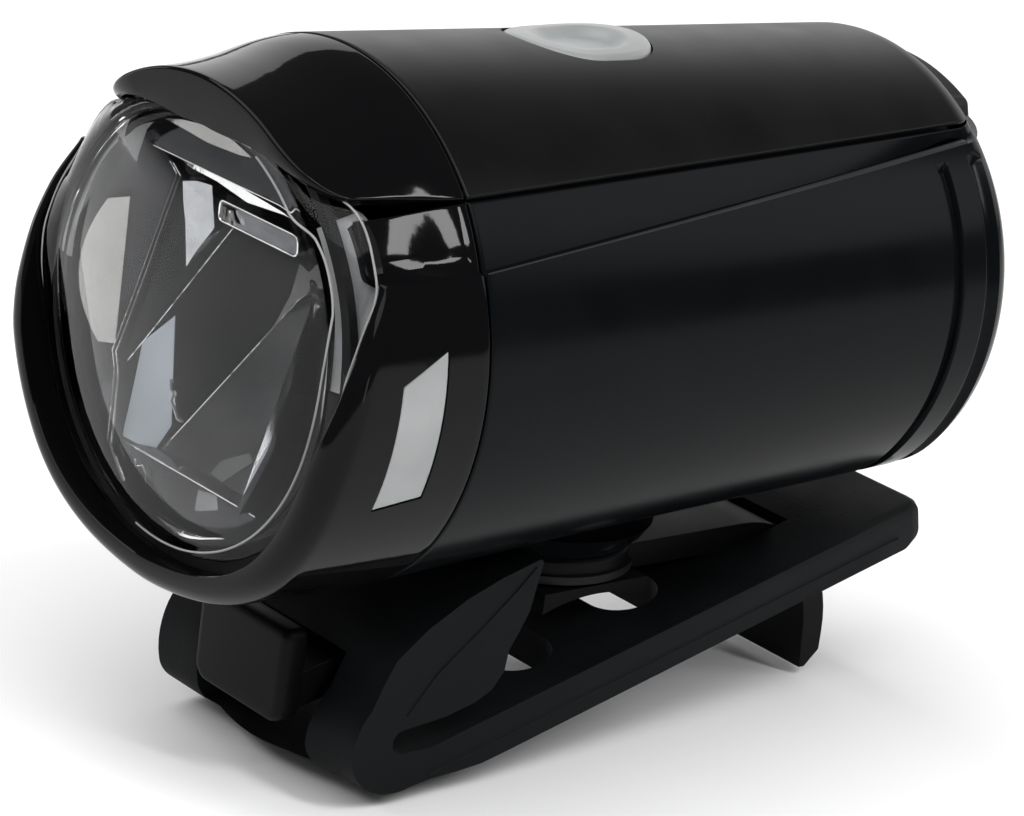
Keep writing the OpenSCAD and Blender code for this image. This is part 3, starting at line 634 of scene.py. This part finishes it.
def shield_y(x, z):
    """The shield's face: a middle panel with a wide and a narrow facet on each side of it."""
    out = abs(x)
    facets = (-0.97 + 0.63 * z, -0.2 - 0.65 * out + 0.40 * z, 2.89 - out + 0.305 * z)
    return min(*facets, bowl_y(math.hypot(x, z)) + 0.3)


def on_shield(x, z, lift):
    """A point that stands this far in front of the shield's face."""
    return lamp_point(x, shield_y(x, z) - lift, z)


def face_point(x, z, y):
    """A point of an outline that is drawn as seen from the front."""
    return lamp_point(x, y, z)


def facet(x_from, x_to, steps):
    """A skin over the shield's face between two lines that depend on the height."""
    rows = [[on_shield(x, z, 0) for x in np.linspace(x_from(z), x_to(z), steps)]
            for z in np.linspace(step_z - 0.3, shelf_z + 0.3, 90)]
    mesh = skin(rows)
    face_outward(mesh, lamp_point(0, 30, 0))
    return mesh


def soften(made, width, segments=3, angle=30):
    edge = made.modifiers.new("soft_edge", "BEVEL")
    edge.width, edge.segments, edge.limit_method = width * MM, segments, "ANGLE"
    edge.angle_limit = math.radians(angle)
    edge.harden_normals = True


bowl_turns = np.linspace(0, 2 * math.pi, 145)[:-1]
bowl_profile = [(r, bowl_y(r)) for r in np.linspace(0.3, mouth_r, 40)] + [(17.62, -9.8), (17.7, -11.6)]
bowl_mesh = skin([[round_point(r, t, y) for t in bowl_turns] for r, y in bowl_profile], ring=True)
face_outward(bowl_mesh, lamp_point(0, 40, 0))
mirror_piece("reflector_bowl", bowl_mesh, painted_deep_shade_coat, ["reflector"])
mirror_piece("reflector_middle_facet", facet(lambda z: -fold_middle(z), fold_middle, 30), painted_half_light_coat)

shade_low, shade_high, shade_y, shade_half = 7.0, 8.7, -6.0, 5.3
glint = [(8.2, 8.9), (9.1, 9.1), (9.9, 8.9), (9.75, 7.2), (9.5, 5.4),
         (9.2, 1.7), (8.9, 2.6), (8.6, 3.5), (8.1, 4.6), (7.8, 5.4)]
panel_curl = [(7.0, -7.2), (6.7, -7.9), (6.4, -8.2), (6.3, -8.8), (5.9, -9.3), (5.4, -10.0), (4.9, -10.2)]
satin_panel = [(8.7, -2.3), (10.1, -4.8), (8.6, -12.2), (6.1, -13.0), (5.7, -10.7)]
wall_x, wall_y, wall_lean, wall_half, wall_r = 14.4, -8.4, 1.1, 6.4, 16.6
wall_across, wall_forward = 0.74, 0.67
# A pale copy of the coat for plates that are painted reflections on the side walls and the shelf.
painted_reflection_coat = mirror_coat("mirror_painted_reflection", (0.31, 0.3, 0.29), 0.2, 0.12)
for side, word in both_sides:
    mirror_piece(f"reflector_flank_{word}",
                 facet(lambda z: side * fold_middle(z), lambda z: side * fold_outer(z), 30), painted_shade_coat)
    mirror_piece(f"reflector_narrow_{word}",
                 facet(lambda z: side * fold_outer(z), lambda z: side * shield_edge(z), 16), painted_shade_coat)
    fin_rows = []
    for z in np.linspace(step_z, shelf_z, 60):
        x = shield_edge(z)
        top = shield_y(x, z) - fin_high
        foot = bowl_y(math.hypot(x, z)) + 0.3
        fin_rows.append([lamp_point(side * a, b, z) for a, b in (
            (x + 0.05, foot), (x + 0.05, top + 0.12), (x - 0.05, top),
            (x - fin_wide, top), (x - fin_wide, top + fin_high + 0.2))])
    fin_mesh = skin(fin_rows)
    face_outward(fin_mesh, lamp_point(side * 9, 20, 0))
    mirror_piece(f"reflector_fin_{word}", fin_mesh, painted_deep_shade_coat, crease=20)
    tops = [(shield_edge(z), shield_y(shield_edge(z), z) - fin_high, z)
            for z in np.linspace(step_z, shelf_z - 1.5, 60)]
    lines = {
        "fin_edge": ([lamp_point(side * (x - 0.02), y, z) for x, y, z in tops], edge_bead),
        "fin_line": ([lamp_point(side * (x - fin_wide), y, z) for x, y, z in tops], edge_bead * 0.8),
        "outer_fold": ([on_shield(side * fold_outer(z), z, 0)
                        for z in np.linspace(-6.5, 6.5, 40)], fold_bead),
        "middle_fold": ([on_shield(side * fold_middle(z), z, 0)
                         for z in np.linspace(step_z, 3.2, 40)], fold_bead * 0.8),
        "panel_curl": ([on_shield(side * x, z, 0.1) for x, z in panel_curl], 0.22)}
    if side > 0:
        lines = {"outer_fold": lines["outer_fold"]}
    for line, (points, radius) in lines.items():
        mirror_piece(f"reflector_{line}_{word}", bead(points, radius), bright_coat)
    # Glint: a paler plate near the top of each narrow facet, a painted glint of reflected light.
    glint_y = shield_y(9.2, 1.7) - 0.05
    mirror_piece(f"reflector_glint_{word}", plate(
        glint, lambda x, z, lift: lamp_point(side * x, glint_y + 9.2 - x - lift, z), -1.2, 0), painted_half_light_coat)
    near_panel = [(side * x, z) for x, z in satin_panel]
    mirror_piece(f"reflector_panel_{word}", plate(near_panel, on_shield, -0.2, 0.06), satin_coat)
    # Wall panels: tilted plates on the bowl's side walls whose pale coat and real reflection of the floor
    # together paint the bright panel of reflected light there.
    reflection_panel_outline = [(wall_x, -wall_half), (wall_x - 0.05, wall_half)]
    reflection_panel_outline += [(math.sqrt(wall_r ** 2 - z * z), z)
                     for z in np.linspace(wall_half - 0.4, -wall_half, 14)]
    mirror_piece(f"reflector_painted_reflection_panel_{word}", plate(reflection_panel_outline, lambda x, z, lift: lamp_point(
        side * (x - lift * wall_across), wall_y - wall_lean * (x - wall_x) - lift * wall_forward, z),
        -2.5, 0), painted_reflection_coat)

block_edge = 0.3
for name, height, block_y, sign in (("shelf", shelf_z, shelf_y, 1), ("step", step_z, step_y, -1)):
    start = math.asin(abs(height) / shield_r)
    rows = []
    for y, sink in ((block_y, block_edge), (block_y + block_edge * 0.3, block_edge * 0.3),
                    (block_y + block_edge, 0), (0, 0)):
        low = [(x, y, height + sign * sink) for x in np.linspace(-1, 1, 41) * shield_r * math.cos(start)]
        high = [(shield_r * math.cos(t), y, shield_r * math.sin(t) * sign)
                for t in np.linspace(start, math.pi - start, 41)]
        rows.append([lamp_point(*p) for p in low + high[1:-1]])
    mirror_piece(f"reflector_{name}", solid(rows), painted_deep_shade_coat)
    line = [lamp_point(x, block_y + 0.06, height + sign * 0.1)
            for x in np.linspace(-1, 1, 30) * (shield_r * math.cos(start) - 0.4)]
    mirror_piece(f"reflector_{name}_edge", bead(line, fold_bead), bright_coat)

# Crescent: a pale plate on the shelf's face, a painted reflection of light on the shelf's curve.
crescent = [(-9.2, 14.5), (-7.0, 15.05), (-3.7, 15.45), (-0.2, 15.25),
            (2.4, 14.6), (0.8, 14.35), (-3.4, 14.15)]
mirror_piece("shelf_painted_reflection", plate(
    crescent, lambda x, z, lift: lamp_point(x, shelf_y - lift, z), -0.2, 0.05), painted_reflection_coat)
# Low lines: bright chrome strips laid on the step, painted highlights for the arcs of reflected light low in
# the bowl.
low_lines = {
    "left_line": ([(-9.8, -12.9), (-9.2, -13.7), (-8.3, -14.6), (-7.2, -15.6)], 0.16),
    "curl": ([(-6.3, -13.4), (-5.9, -13.9), (-5.2, -13.6), (-4.6, -14.1), (-4.4, -14.8)], 0.1),
    "bottom_line": ([(-2.3, -16.9), (-0.6, -17.1), (0.8, -17.1), (2.4, -16.9), (3.7, -16.6), (6.5, -15.6)],
                    [0.04, 0.2, 0.3, 0.28, 0.16, 0.04])}
for line, (points, radius) in low_lines.items():
    low_line = [lamp_point(x, step_y - 0.3, z) for x, z in points]
    mirror_piece(f"reflector_low_{line}", bead(low_line, radius), bright_coat)
# Low patch: a plate of the darker coat on the middle facet, a painted reflection patch.
low_patch = [(2.1, -13.1), (4.6, -12.75), (5.0, -13.8), (2.0, -15.0)]
mirror_piece("reflector_low_patch", plate(
    low_patch, lambda x, z, lift: lamp_point(x, step_y - lift, z), -0.2, 0.05), painted_shade_coat)

# Fold and foot patches: bright plates on the shield's face, painted glints of reflected light.
painted_glint_outlines = {
    "fold_patch": [(-1.7, -1.8), (-1.1, 0.6), (-0.1, 2.1), (-0.6, 3.3), (-1.8, 3.7), (-1.5, 1.3)],
    "foot_patch": [(1.0, -12.4), (2.8, -12.5), (4.6, -10.3), (3.7, -9.9), (1.3, -11.3)]}
for line, points in painted_glint_outlines.items():
    mirror_piece(f"reflector_{line}", plate(points, on_shield, -0.2, 0.05), bright_coat)

shade_round, shade_rise = 0.5, 0.35
shade_outline = [(a * (shade_half - shade_round) + shade_round * math.cos(t),
                  (shade_low + shade_high) / 2 + b * shade_rise + shade_round * math.sin(t))
                 for a, b, first in ((1, 1, 0), (-1, 1, 90), (-1, -1, 180), (1, -1, 270))
                 for t in arc(first, first + 90, 6)]
mirror_piece("lamp_shade", plate(shade_outline, face_point, shade_y, 1.0), painted_shade_coat)
shade_line = [lamp_point(x, shade_y, z) for x, z in shade_outline + shade_outline[:2]]
mirror_piece("lamp_shade_edge", bead(shade_line, edge_bead), bright_coat)
# Bright plates at the shade's left end and under the shelf's edge: painted glints of reflected light.
shade_glint = [(-shade_half + 0.5, shade_low + 0.35), (-2.6, shade_low + 0.3),
               (-3.4, shade_high - 0.4), (-shade_half + 0.4, shade_high - 0.3)]
mirror_piece("lamp_shade_glint", plate(shade_glint, lambda x, z, lift: lamp_point(
    x, shade_y - lift - 0.25 * (x + shade_half), z), -0.4, 0.03), bright_coat)
under_glint = [(x, shelf_z - drop) for x, drop in (
    (-9.6, 0.5), (-7.5, 0.9), (-3, 0.75), (2, 1.0), (8.6, 0.15), (-9.6, 0.1))]
mirror_piece("shelf_glint", plate(under_glint, lambda x, z, lift: lamp_point(
    x, shelf_y + 0.5 - lift - 0.12 * x, z), -0.4, 0), bright_coat)

# Lens: one clear moulding with a bulging front. Its thick edge sits behind the bezel lip, and on
# each side a wing of it wraps round through the notch under the hood.
dome_front, dome_edge, dome_edge_y = -15.7, 18.0, -13.1
dome_sphere = (dome_edge ** 2 + (dome_edge_y - dome_front) ** 2) / (2 * (dome_edge_y - dome_front))
lens_thick, lens_shrink, lens_bead = 1.7, 0.945, 0.1
wing_from, wing_span = 20.2, 1.7
rim_turns = [-90, -17, -8.5, -1.2, 6.7, 16.2, 24, 36, 41, 46, 52, 64, 73, 82, 90]
rim_radii = [20.2, 20.2, 20.3, 20.5, 20.85, 21.55, 22.15, 22.15, 21.8, 20.5, 19.7, 18.8, 18.4, 18.2, 18.1]
rim_backs = [-12.0, -12.0, -12.4, -12.7, -12.6, -11.5, -10.0, -9.8, -9.8, -9.7,
             -11.3, -12.4, -12.6, -12.7, -12.7]
clear_lens = bpy.data.materials.new("clear_lens")
clear_lens.use_nodes = True
lens_nodes = clear_lens.node_tree.nodes
lens_shader = lens_nodes["Principled BSDF"]
set_inputs(lens_shader, {"Base Color": (0.97, 0.98, 0.985, 1), "Roughness": 0.015, "IOR": 1.2,
                         "Transmission Weight": 1.0})
lens_where = lens_nodes.new("ShaderNodeTexCoord")
lens_waves = lens_nodes.new("ShaderNodeTexNoise")
set_inputs(lens_waves, {"Scale": 260})
lens_bump = lens_nodes.new("ShaderNodeBump")
set_inputs(lens_bump, {"Strength": 0.008, "Distance": 0.3 * MM})
for source, target in ((lens_where.outputs["Object"], lens_waves.inputs["Vector"]),
                       (lens_waves.outputs["Fac"], lens_bump.inputs["Height"]),
                       (lens_bump.outputs["Normal"], lens_shader.inputs["Normal"])):
    clear_lens.node_tree.links.new(source, target)


def dome_y(r):
    return dome_front + dome_sphere - math.sqrt(dome_sphere ** 2 - r * r)


def rim_at(turn):
    """Where the lens ends in this direction, and how much of a wing it has there."""
    degrees = math.degrees(math.asin(math.sin(turn)))
    spots = np.clip(degrees + np.linspace(-2.5, 2.5, 7), -90, 90)
    r, back = (float(np.mean(np.interp(spots, rim_turns, rim))) for rim in (rim_radii, rim_backs))
    return r, back, min(max((r - wing_from) / wing_span, 0.0), 1.0)


def lens_front(turn, share):
    """A point of the lens's face beyond the dome, from the dome's edge (0) to the rim (1)."""
    rim_r, rim_y, wing = rim_at(turn)
    round_share = math.sin(share * math.pi / 2) * (1 - wing) + share ** 0.8 * wing
    back_share = (1 - math.cos(share * math.pi / 2)) * (1 - wing) + share ** 1.3 * wing
    return dome_edge + (rim_r - dome_edge) * round_share, dome_edge_y + (rim_y - dome_edge_y) * back_share


lens_turns = arc(-180, 180, 541)[:-1]
front_profile = [[(r, dome_y(r))] * len(lens_turns) for r in np.linspace(0.015, 1, 40) * dome_edge]
front_profile += [[lens_front(turn, share) for turn in lens_turns] for share in np.linspace(0, 1, 14)[1:]]
back_profile = [[(r * lens_shrink, y + lens_thick) for r, y in profile] for profile in front_profile[::-1]]
lens_rows = [[round_point(r, t, y) for t, (r, y) in zip(lens_turns, profile)]
             for profile in front_profile + back_profile]
piece("lens_dome", solid(lens_rows), clear_lens, "light",
      ["lens"], crease=40)

# Lens edges: where the dome meets its rim and along each wing the moulding has a fine rounded edge. It is
# laid as a bead whose pale, half-clear colour is a painted highlight for the light the edge gathers.
painted_rim_highlight = finish("lens_edge_painted_highlight", (0.5, 0.505, 0.51), 0.2, drift=0.05,
                    sockets={"Transmission Weight": 0.45, "IOR": 1.3})
painted_wing_light_coat = finish("wing_guide_painted_light", (0.32, 0.32, 0.325), 0.45, drift=0.25, specular=0.6)
guide_shrink, guide_gap = 0.925, 0.25
dome_line = []
for turn in arc(-100, 66, 130):
    edge_share = 0.3 * rim_at(turn)[2] * float(soft_step(math.radians(62), math.radians(30), turn))
    r, y = lens_front(turn, edge_share)
    dome_line.append(round_point(r, turn, y - 0.02))
piece("lens_dome_edge", bead(dome_line, lens_bead), painted_rim_highlight, "light")
for word, first, last, side in (("left", -16, 47, 1), ("right", 196, 133, -1)):
    turns = arc(first, last, 70)
    ends = [lens_front(turn, 1.0) for turn in turns]
    wing_line = [round_point(r - 0.05, t, y - 0.05) for t, (r, y) in zip(turns, ends)]
    piece(f"lens_wing_edge_{word}", bead(wing_line, lens_bead), painted_rim_highlight, "light")
    # Behind each wing lies a frosted grey sheet whose pale tone is painted light seen through the wing.
    guide_rows = []
    for turn in arc(90 - side * 90 + side * 2, 90 - side * 90 + side * 43, 40):
        wing_face = [lens_front(turn, share) for share in np.linspace(0.1, 0.97, 12)]
        guide_rows.append([round_point(r * guide_shrink, turn, y + lens_thick + guide_gap)
                           for r, y in wing_face])
    guide_mesh = skin(guide_rows)
    face_outward(guide_mesh, lamp_point(0, 40, 0))
    mirror_piece(f"wing_guide_{word}", guide_mesh, painted_wing_light_coat)

# Button: a soft light grey silicone cap that stands up through the upper shell, with a shallow
# finger dimple. It is moulded with a skirt that traps it under the shell.
button_top = (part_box("button")[1].z - axis_z) / MM
crown_r, crown_drop, crown_long = 23, 0.02, 7.7
dimple_depth, dimple_out, dimple_in = 0.95, 0.72, 0.38
grey_silicone = finish("grey_silicone", (0.25, 0.26, 0.262), 0.36, grain=0.06, grain_size=0.2,
                       sockets={"Subsurface Weight": 0.25, "Subsurface Scale": 0.003})
button_rows = []
outline = stadium(button_wide, button_long, 32)
button_profile = [(share, 0.0) for share in np.linspace(0.02, 0.9, 30)]
button_profile += [(0.94, 0.06), (0.97, 0.16), (0.99, 0.3), (1.0, 0.5), (1.0, 1.2), (1.0, 3.0)]
for share, drop in button_profile:
    dimple = dimple_depth * float(soft_step(dimple_out, dimple_in, share))
    row = []
    for x, y in outline:
        px, py = x * share, y * share
        crown = button_top - (px * px) / (2 * crown_r) - crown_drop * (py / crown_long) ** 2
        row.append(lamp_point(px, button_y + py, crown - dimple - drop))
    button_rows.append(row)
piece("button_cap", solid(button_rows), grey_silicone, "button",
      ["button"], crease=50)

# Rear flap: a soft black rubber cover over the charging socket. Its top follows the body's edge
# and its foot bends as the hinge.
flap_lo, flap_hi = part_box("usb_flap")
black_rubber = finish("black_rubber", (0.007, 0.0073, 0.008), 0.5, grain=0.12, grain_size=0.3,
                      specular=0.25)
flap_half, flap_foot = flap_hi.x / MM - 0.4, (flap_lo.z - axis_z) / MM
flap_r, flap_corner = (flap_hi.z - axis_z) / MM - 1.3, 2.5
side_top = math.acos((flap_half - 0.8) / flap_r)
flap_side = flap_r * math.sin(side_top) - flap_corner
flap_outline = [(-flap_half, flap_foot), (flap_half, flap_foot), (flap_half, flap_side)]
flap_outline += [(flap_r * math.cos(t), flap_r * math.sin(t))
                 for t in np.linspace(side_top, math.pi - side_top, 40)]
flap_outline += [(-flap_half, flap_side)]
flap_near, flap_far = (flap_lo.y - joint_y) / MM, (flap_hi.y - joint_y) / MM
flap = piece("usb_flap_cover", plate(flap_outline, face_point, flap_near, flap_far),
             black_rubber, "usb_flap", ["usb_flap"])
soften(flap, 0.8, 4)

# Bracket: one black plastic moulding that the light turns on. A round deck carries it, an arm runs
# forward through the strap to an upturned hook, and a blade hangs behind.
slope = math.radians(14.45)
run_z = -5.3
arm_half = 6.0


def strap_point(x, u, v):
    """A point in millimetres along the strap's slope: u back along it, v up from its middle."""
    return Vector((x * MM, (u * math.cos(slope) - v * math.sin(slope)) * MM,
                   (run_z + u * math.sin(slope) + v * math.cos(slope)) * MM))


def bar_point(x, y, z):
    return Vector((x * MM, y * MM, z * MM))


bracket_plastic = finish("bracket_plastic", (0.003, 0.0031, 0.0034), 0.45, grain=0.06, grain_size=0.25,
                         specular=0.08)
deck_low, deck_high, deck_r, deck_back, foot_bore, bore_floor = 0.8, 3.2, 7.9, 19.0, 7.3, 1.05
arm_low, arm_high, hook_front, hook_back, hook_top = 6.4, 9.6, -32.0, -30.2, 0.2
blade_z, blade_in, blade_out, blade_end = -9.4, 10.0, 12.6, -12.7


def arm_z(y, v):
    """Height of the sloping arm's face v at this place along the bar's own axes."""
    u = (y + v * math.sin(slope)) / math.cos(slope)
    return run_z + u * math.sin(slope) + v * math.cos(slope)


def arm_meets(z, v):
    """Where that face reaches a height."""
    u = (z - run_z - v * math.cos(slope)) / math.sin(slope)
    return u * math.cos(slope) - v * math.sin(slope)


side_view = [(hook_front, arm_z(hook_front, arm_low)), (hook_front, hook_top), (hook_back, hook_top),
             (hook_back, arm_z(hook_back, arm_high)), (arm_meets(deck_high, arm_high), deck_high)]
side_view += [(deck_back + blade_out * math.sin(t), blade_z + blade_out * math.cos(t))
              for t in arc(0, 90, 16)]
side_view += [(deck_back + blade_out, blade_end + 1.5), (deck_back + blade_out - 1.6, blade_end),
              (deck_back + blade_in + 0.3, blade_end)]
side_view += [(deck_back + blade_in * math.sin(t), blade_z + blade_in * math.cos(t))
              for t in arc(90, 0, 16)]
side_view += [(deck_back, deck_low), (arm_meets(deck_low, arm_low), deck_low)]
frame_piece = piece("bracket_frame",
                    plate(side_view, lambda y, z, x: bar_point(x, y, z), -arm_half, arm_half),
                    bracket_plastic, "bracket", ["bracket"])
deck_turns = np.linspace(0, 2 * math.pi, 97)[:-1]
deck_outline, bore_outline = ([(r * math.cos(t), r * math.sin(t)) for t in deck_turns]
                              for r in (deck_r, foot_bore))
deck = piece("bracket_deck", plate(deck_outline, bar_point, deck_low, deck_high - 0.02),
             bracket_plastic, "bracket")
for made in (frame_piece, deck):
    cut_away(made, plate(bore_outline, bar_point, bore_floor, deck_high + 1))
plate_half, plate_low, plate_high = 6.1, -7.9, 0.7
plate_corners = ((1, 1, 0, 0.9), (-1, 1, 90, 0.9), (-1, -1, 180, 1.8), (1, -1, 270, 1.8))
hook_layers = [(-30.0, 0.5), (-30.1, 0.2), (-30.4, 0), (-31.6, 0), (-32.0, 0.08), (-32.25, 0.25),
               (-32.4, 0.5), (-32.45, 0.9)]
hook_rows = []
for y, inset in hook_layers:
    row = []
    for across_sign, up_sign, first, r in plate_corners:
        middle_x = across_sign * (plate_half - r)
        middle_z = plate_high - r if up_sign > 0 else plate_low + r
        row += [bar_point(middle_x + (r - inset) * math.cos(t), y, middle_z + (r - inset) * math.sin(t))
                for t in arc(first, first + 90, 8)]
    hook_rows.append(row)
piece("bracket_hook", solid(hook_rows), bracket_plastic, "bracket",
      crease=40)
soften(frame_piece, 0.6, 4, 40)
soften(deck, 0.35, 3, 40)

# Strap: thick black silicone rubber, moulded flat and folded back on itself in front of the bar.
# Its tail is a leaf-shaped pull tab, and slots along it take the bracket's hook.
strap_half = 13.0
strap_rubber = finish("strap_rubber", (0.0036, 0.0043, 0.0051), 0.6, grain=0.2, grain_size=0.35, drift=0.3,
                      gloss_drift=0.08, specular=0.1)
bend_u, bend_v, bend_in, bend_out, bend_low = -24.2, 3.8, 1.1, 5.1, 4.6
run_end, run_half, corner, end_round = 36.8, 2.0, 2.0, 1.1
lip_reach, recess_half, recess_v, lobe_rise = 2.0, 7.3, 2.0, 2.4
leaf = [(-25.6, 9.9), (-24.0, 11.6), (-20.6, 13.1), (-16.2, 14.2), (-12.5, 14.6), (-8.3, 14.7),
        (-8.0, 14.3), (-8.7, 12.9), (-9.9, 10.3), (-11.4, 8.6), (-12.4, 7.6), (-13.1, 5.8),
        (-14.6, 4.6), (-16.4, 4.2), (-19.6, 4.2)]


def strap_section(x):
    """The strap's outline on a plane across it: the run, its round front bend and the pull tab."""
    out = abs(x)
    lobe = float(soft_step(0.0, -8.0, x))
    forward = bend_out + 0.2 + lip_reach * max(float(soft_step(12.0, 0.0, out)), 0.65 * lobe)
    low_reach = math.sqrt(bend_low ** 2 - (math.sin(slope) * forward) ** 2) / math.cos(slope)
    over = max(out - strap_half + corner, 0.0)
    end = run_end - corner + math.sqrt(corner * corner - over * over)
    outline = []
    for level, first in ((run_half - end_round, 80), (end_round - run_half, 0)):
        outline += [(end - end_round + end_round * math.cos(t), level + end_round * math.sin(t))
                    for t in arc(first, first - (80 if first else 90), 6)]
    outline += [(u, -run_half + (run_half + bend_v - low_reach) * float(soft_step(bend_u + 9, bend_u, u)))
                for u in np.linspace(26, bend_u, 20)]
    outline += [(bend_u + forward * math.cos(t), bend_v + low_reach * math.sin(t))
                for t in arc(-90, -180, 18)[1:]]
    outline += [(bend_u + (forward + (bend_out - forward) * s * (1 - lobe)) * math.cos(t),
                 bend_v + (bend_out + lobe_rise * lobe) * math.sin(t))
                for s, t in zip(np.linspace(0, 1, 9)[1:], arc(-180, -236, 9)[1:])]
    outline += leaf + [(bend_u, bend_v + bend_in)]
    outline += [(bend_u + bend_in * math.cos(t), bend_v + bend_in * math.sin(t))
                for t in arc(90, 270, 12)[1:]]
    return outline + [(u, run_half) for u in np.linspace(bend_u, 28, 20)[1:]]


stations = np.concatenate([[-13, -12.4, -11.6, -10.6], np.linspace(-9.4, 9.4, 15), [10.6, 11.6, 12.4, 13]])
strap_rows = [[strap_point(x, u, v) for u, v in strap_section(x)] for x in stations]
strap = piece("strap_band", solid(strap_rows),
              strap_rubber, "bracket", ["strap"], crease=40)
cut_reach = 4
for middle_u, wide, long in ((-6.6, 18.8, 6.4), (6.5, 16.6, 6.8)):
    slot = [(y, middle_u + x) for x, y in stadium(long, wide)]
    cut_away(strap, plate(slot, strap_point, -cut_reach, cut_reach))
for near_u, far_u, low_v, high_v, half in ((18.5, 25.5, -cut_reach, cut_reach, 6.4),
                                           (-36, -20.5, recess_v, 10.5, recess_half)):
    box = [(half, near_u), (half, far_u), (-half, far_u), (-half, near_u)]
    cut_away(strap, plate(box, strap_point, low_v, high_v))
soften(strap, 0.5, 3, 40)
for side, word in both_sides:
    ridge = [strap_point(side * (strap_half - 0.03), u, -0.5) for u in np.linspace(-22, 33, 30)]
    piece(f"strap_ridge_{word}", bead(ridge, 0.14), strap_rubber, "bracket")
    tail_line = [strap_point(side * (strap_half - 0.03), u, v) for u, v in (
        (-23.5, 6.0), (-20, 8.6), (-15, 10.8), (-11, 12.8), (-8.8, 14.1))]
    piece(f"strap_tail_ridge_{word}", bead(tail_line, 0.16), strap_rubber, "bracket")

# Inner parts that stay as they were drawn: boards, cell, cradle, contacts, screws, seals and washer.
# Each takes a finish of its own.
inner_finishes = {
    "lens_gasket": ("gasket_rubber", (0.015, 0.015, 0.016), 0.6, 0.0),
    "body_seal": ("seal_rubber", (0.015, 0.015, 0.016), 0.6, 0.0),
    "saddle_pad": ("pad_rubber", (0.004, 0.0042, 0.0045), 0.65, 0.0),
    "led_board": ("white_lamp_board", (0.75, 0.75, 0.72), 0.4, 0.0),
    "led_emitter": ("phosphor", (0.85, 0.70, 0.18), 0.5, 0.0),
    "heat_sink": ("heat_sink_aluminium", (0.75, 0.76, 0.77), 0.3, 1.0),
    "heat_sink_screws": ("sink_screw_steel", (0.62, 0.63, 0.64), 0.25, 1.0),
    "board_screws": ("board_screw_steel", (0.62, 0.63, 0.64), 0.25, 1.0),
    "usb_socket": ("socket_steel", (0.66, 0.67, 0.68), 0.22, 1.0),
    "swivel_washer": ("blackened_washer", (0.012, 0.012, 0.013), 0.45, 0.0),
    "swivel_screw": ("screw_steel", (0.60, 0.61, 0.62), 0.24, 1.0),
    "tact_switch": ("switch_plastic", (0.03, 0.03, 0.032), 0.4, 0.0),
    "driver_board": ("green_board", (0.02, 0.13, 0.05), 0.35, 0.0),
    "battery_cell": ("cell_wrap", (0.02, 0.12, 0.32), 0.3, 0.0),
    "battery_cradle": ("cradle_plastic", (0.06, 0.06, 0.062), 0.45, 0.0),
    "battery_contacts": ("contact_brass", (0.72, 0.55, 0.25), 0.25, 1.0),
}
for node, (name, colour, roughness, metal) in inner_finishes.items():
    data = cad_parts[node].data
    data.materials.clear()
    shine = 0.5 if metal else 0.12
    data.materials.append(finish(name, colour, roughness, grain=0.08, grain_size=0.3,
                                 specular=shine, sockets={"Metallic": metal}))
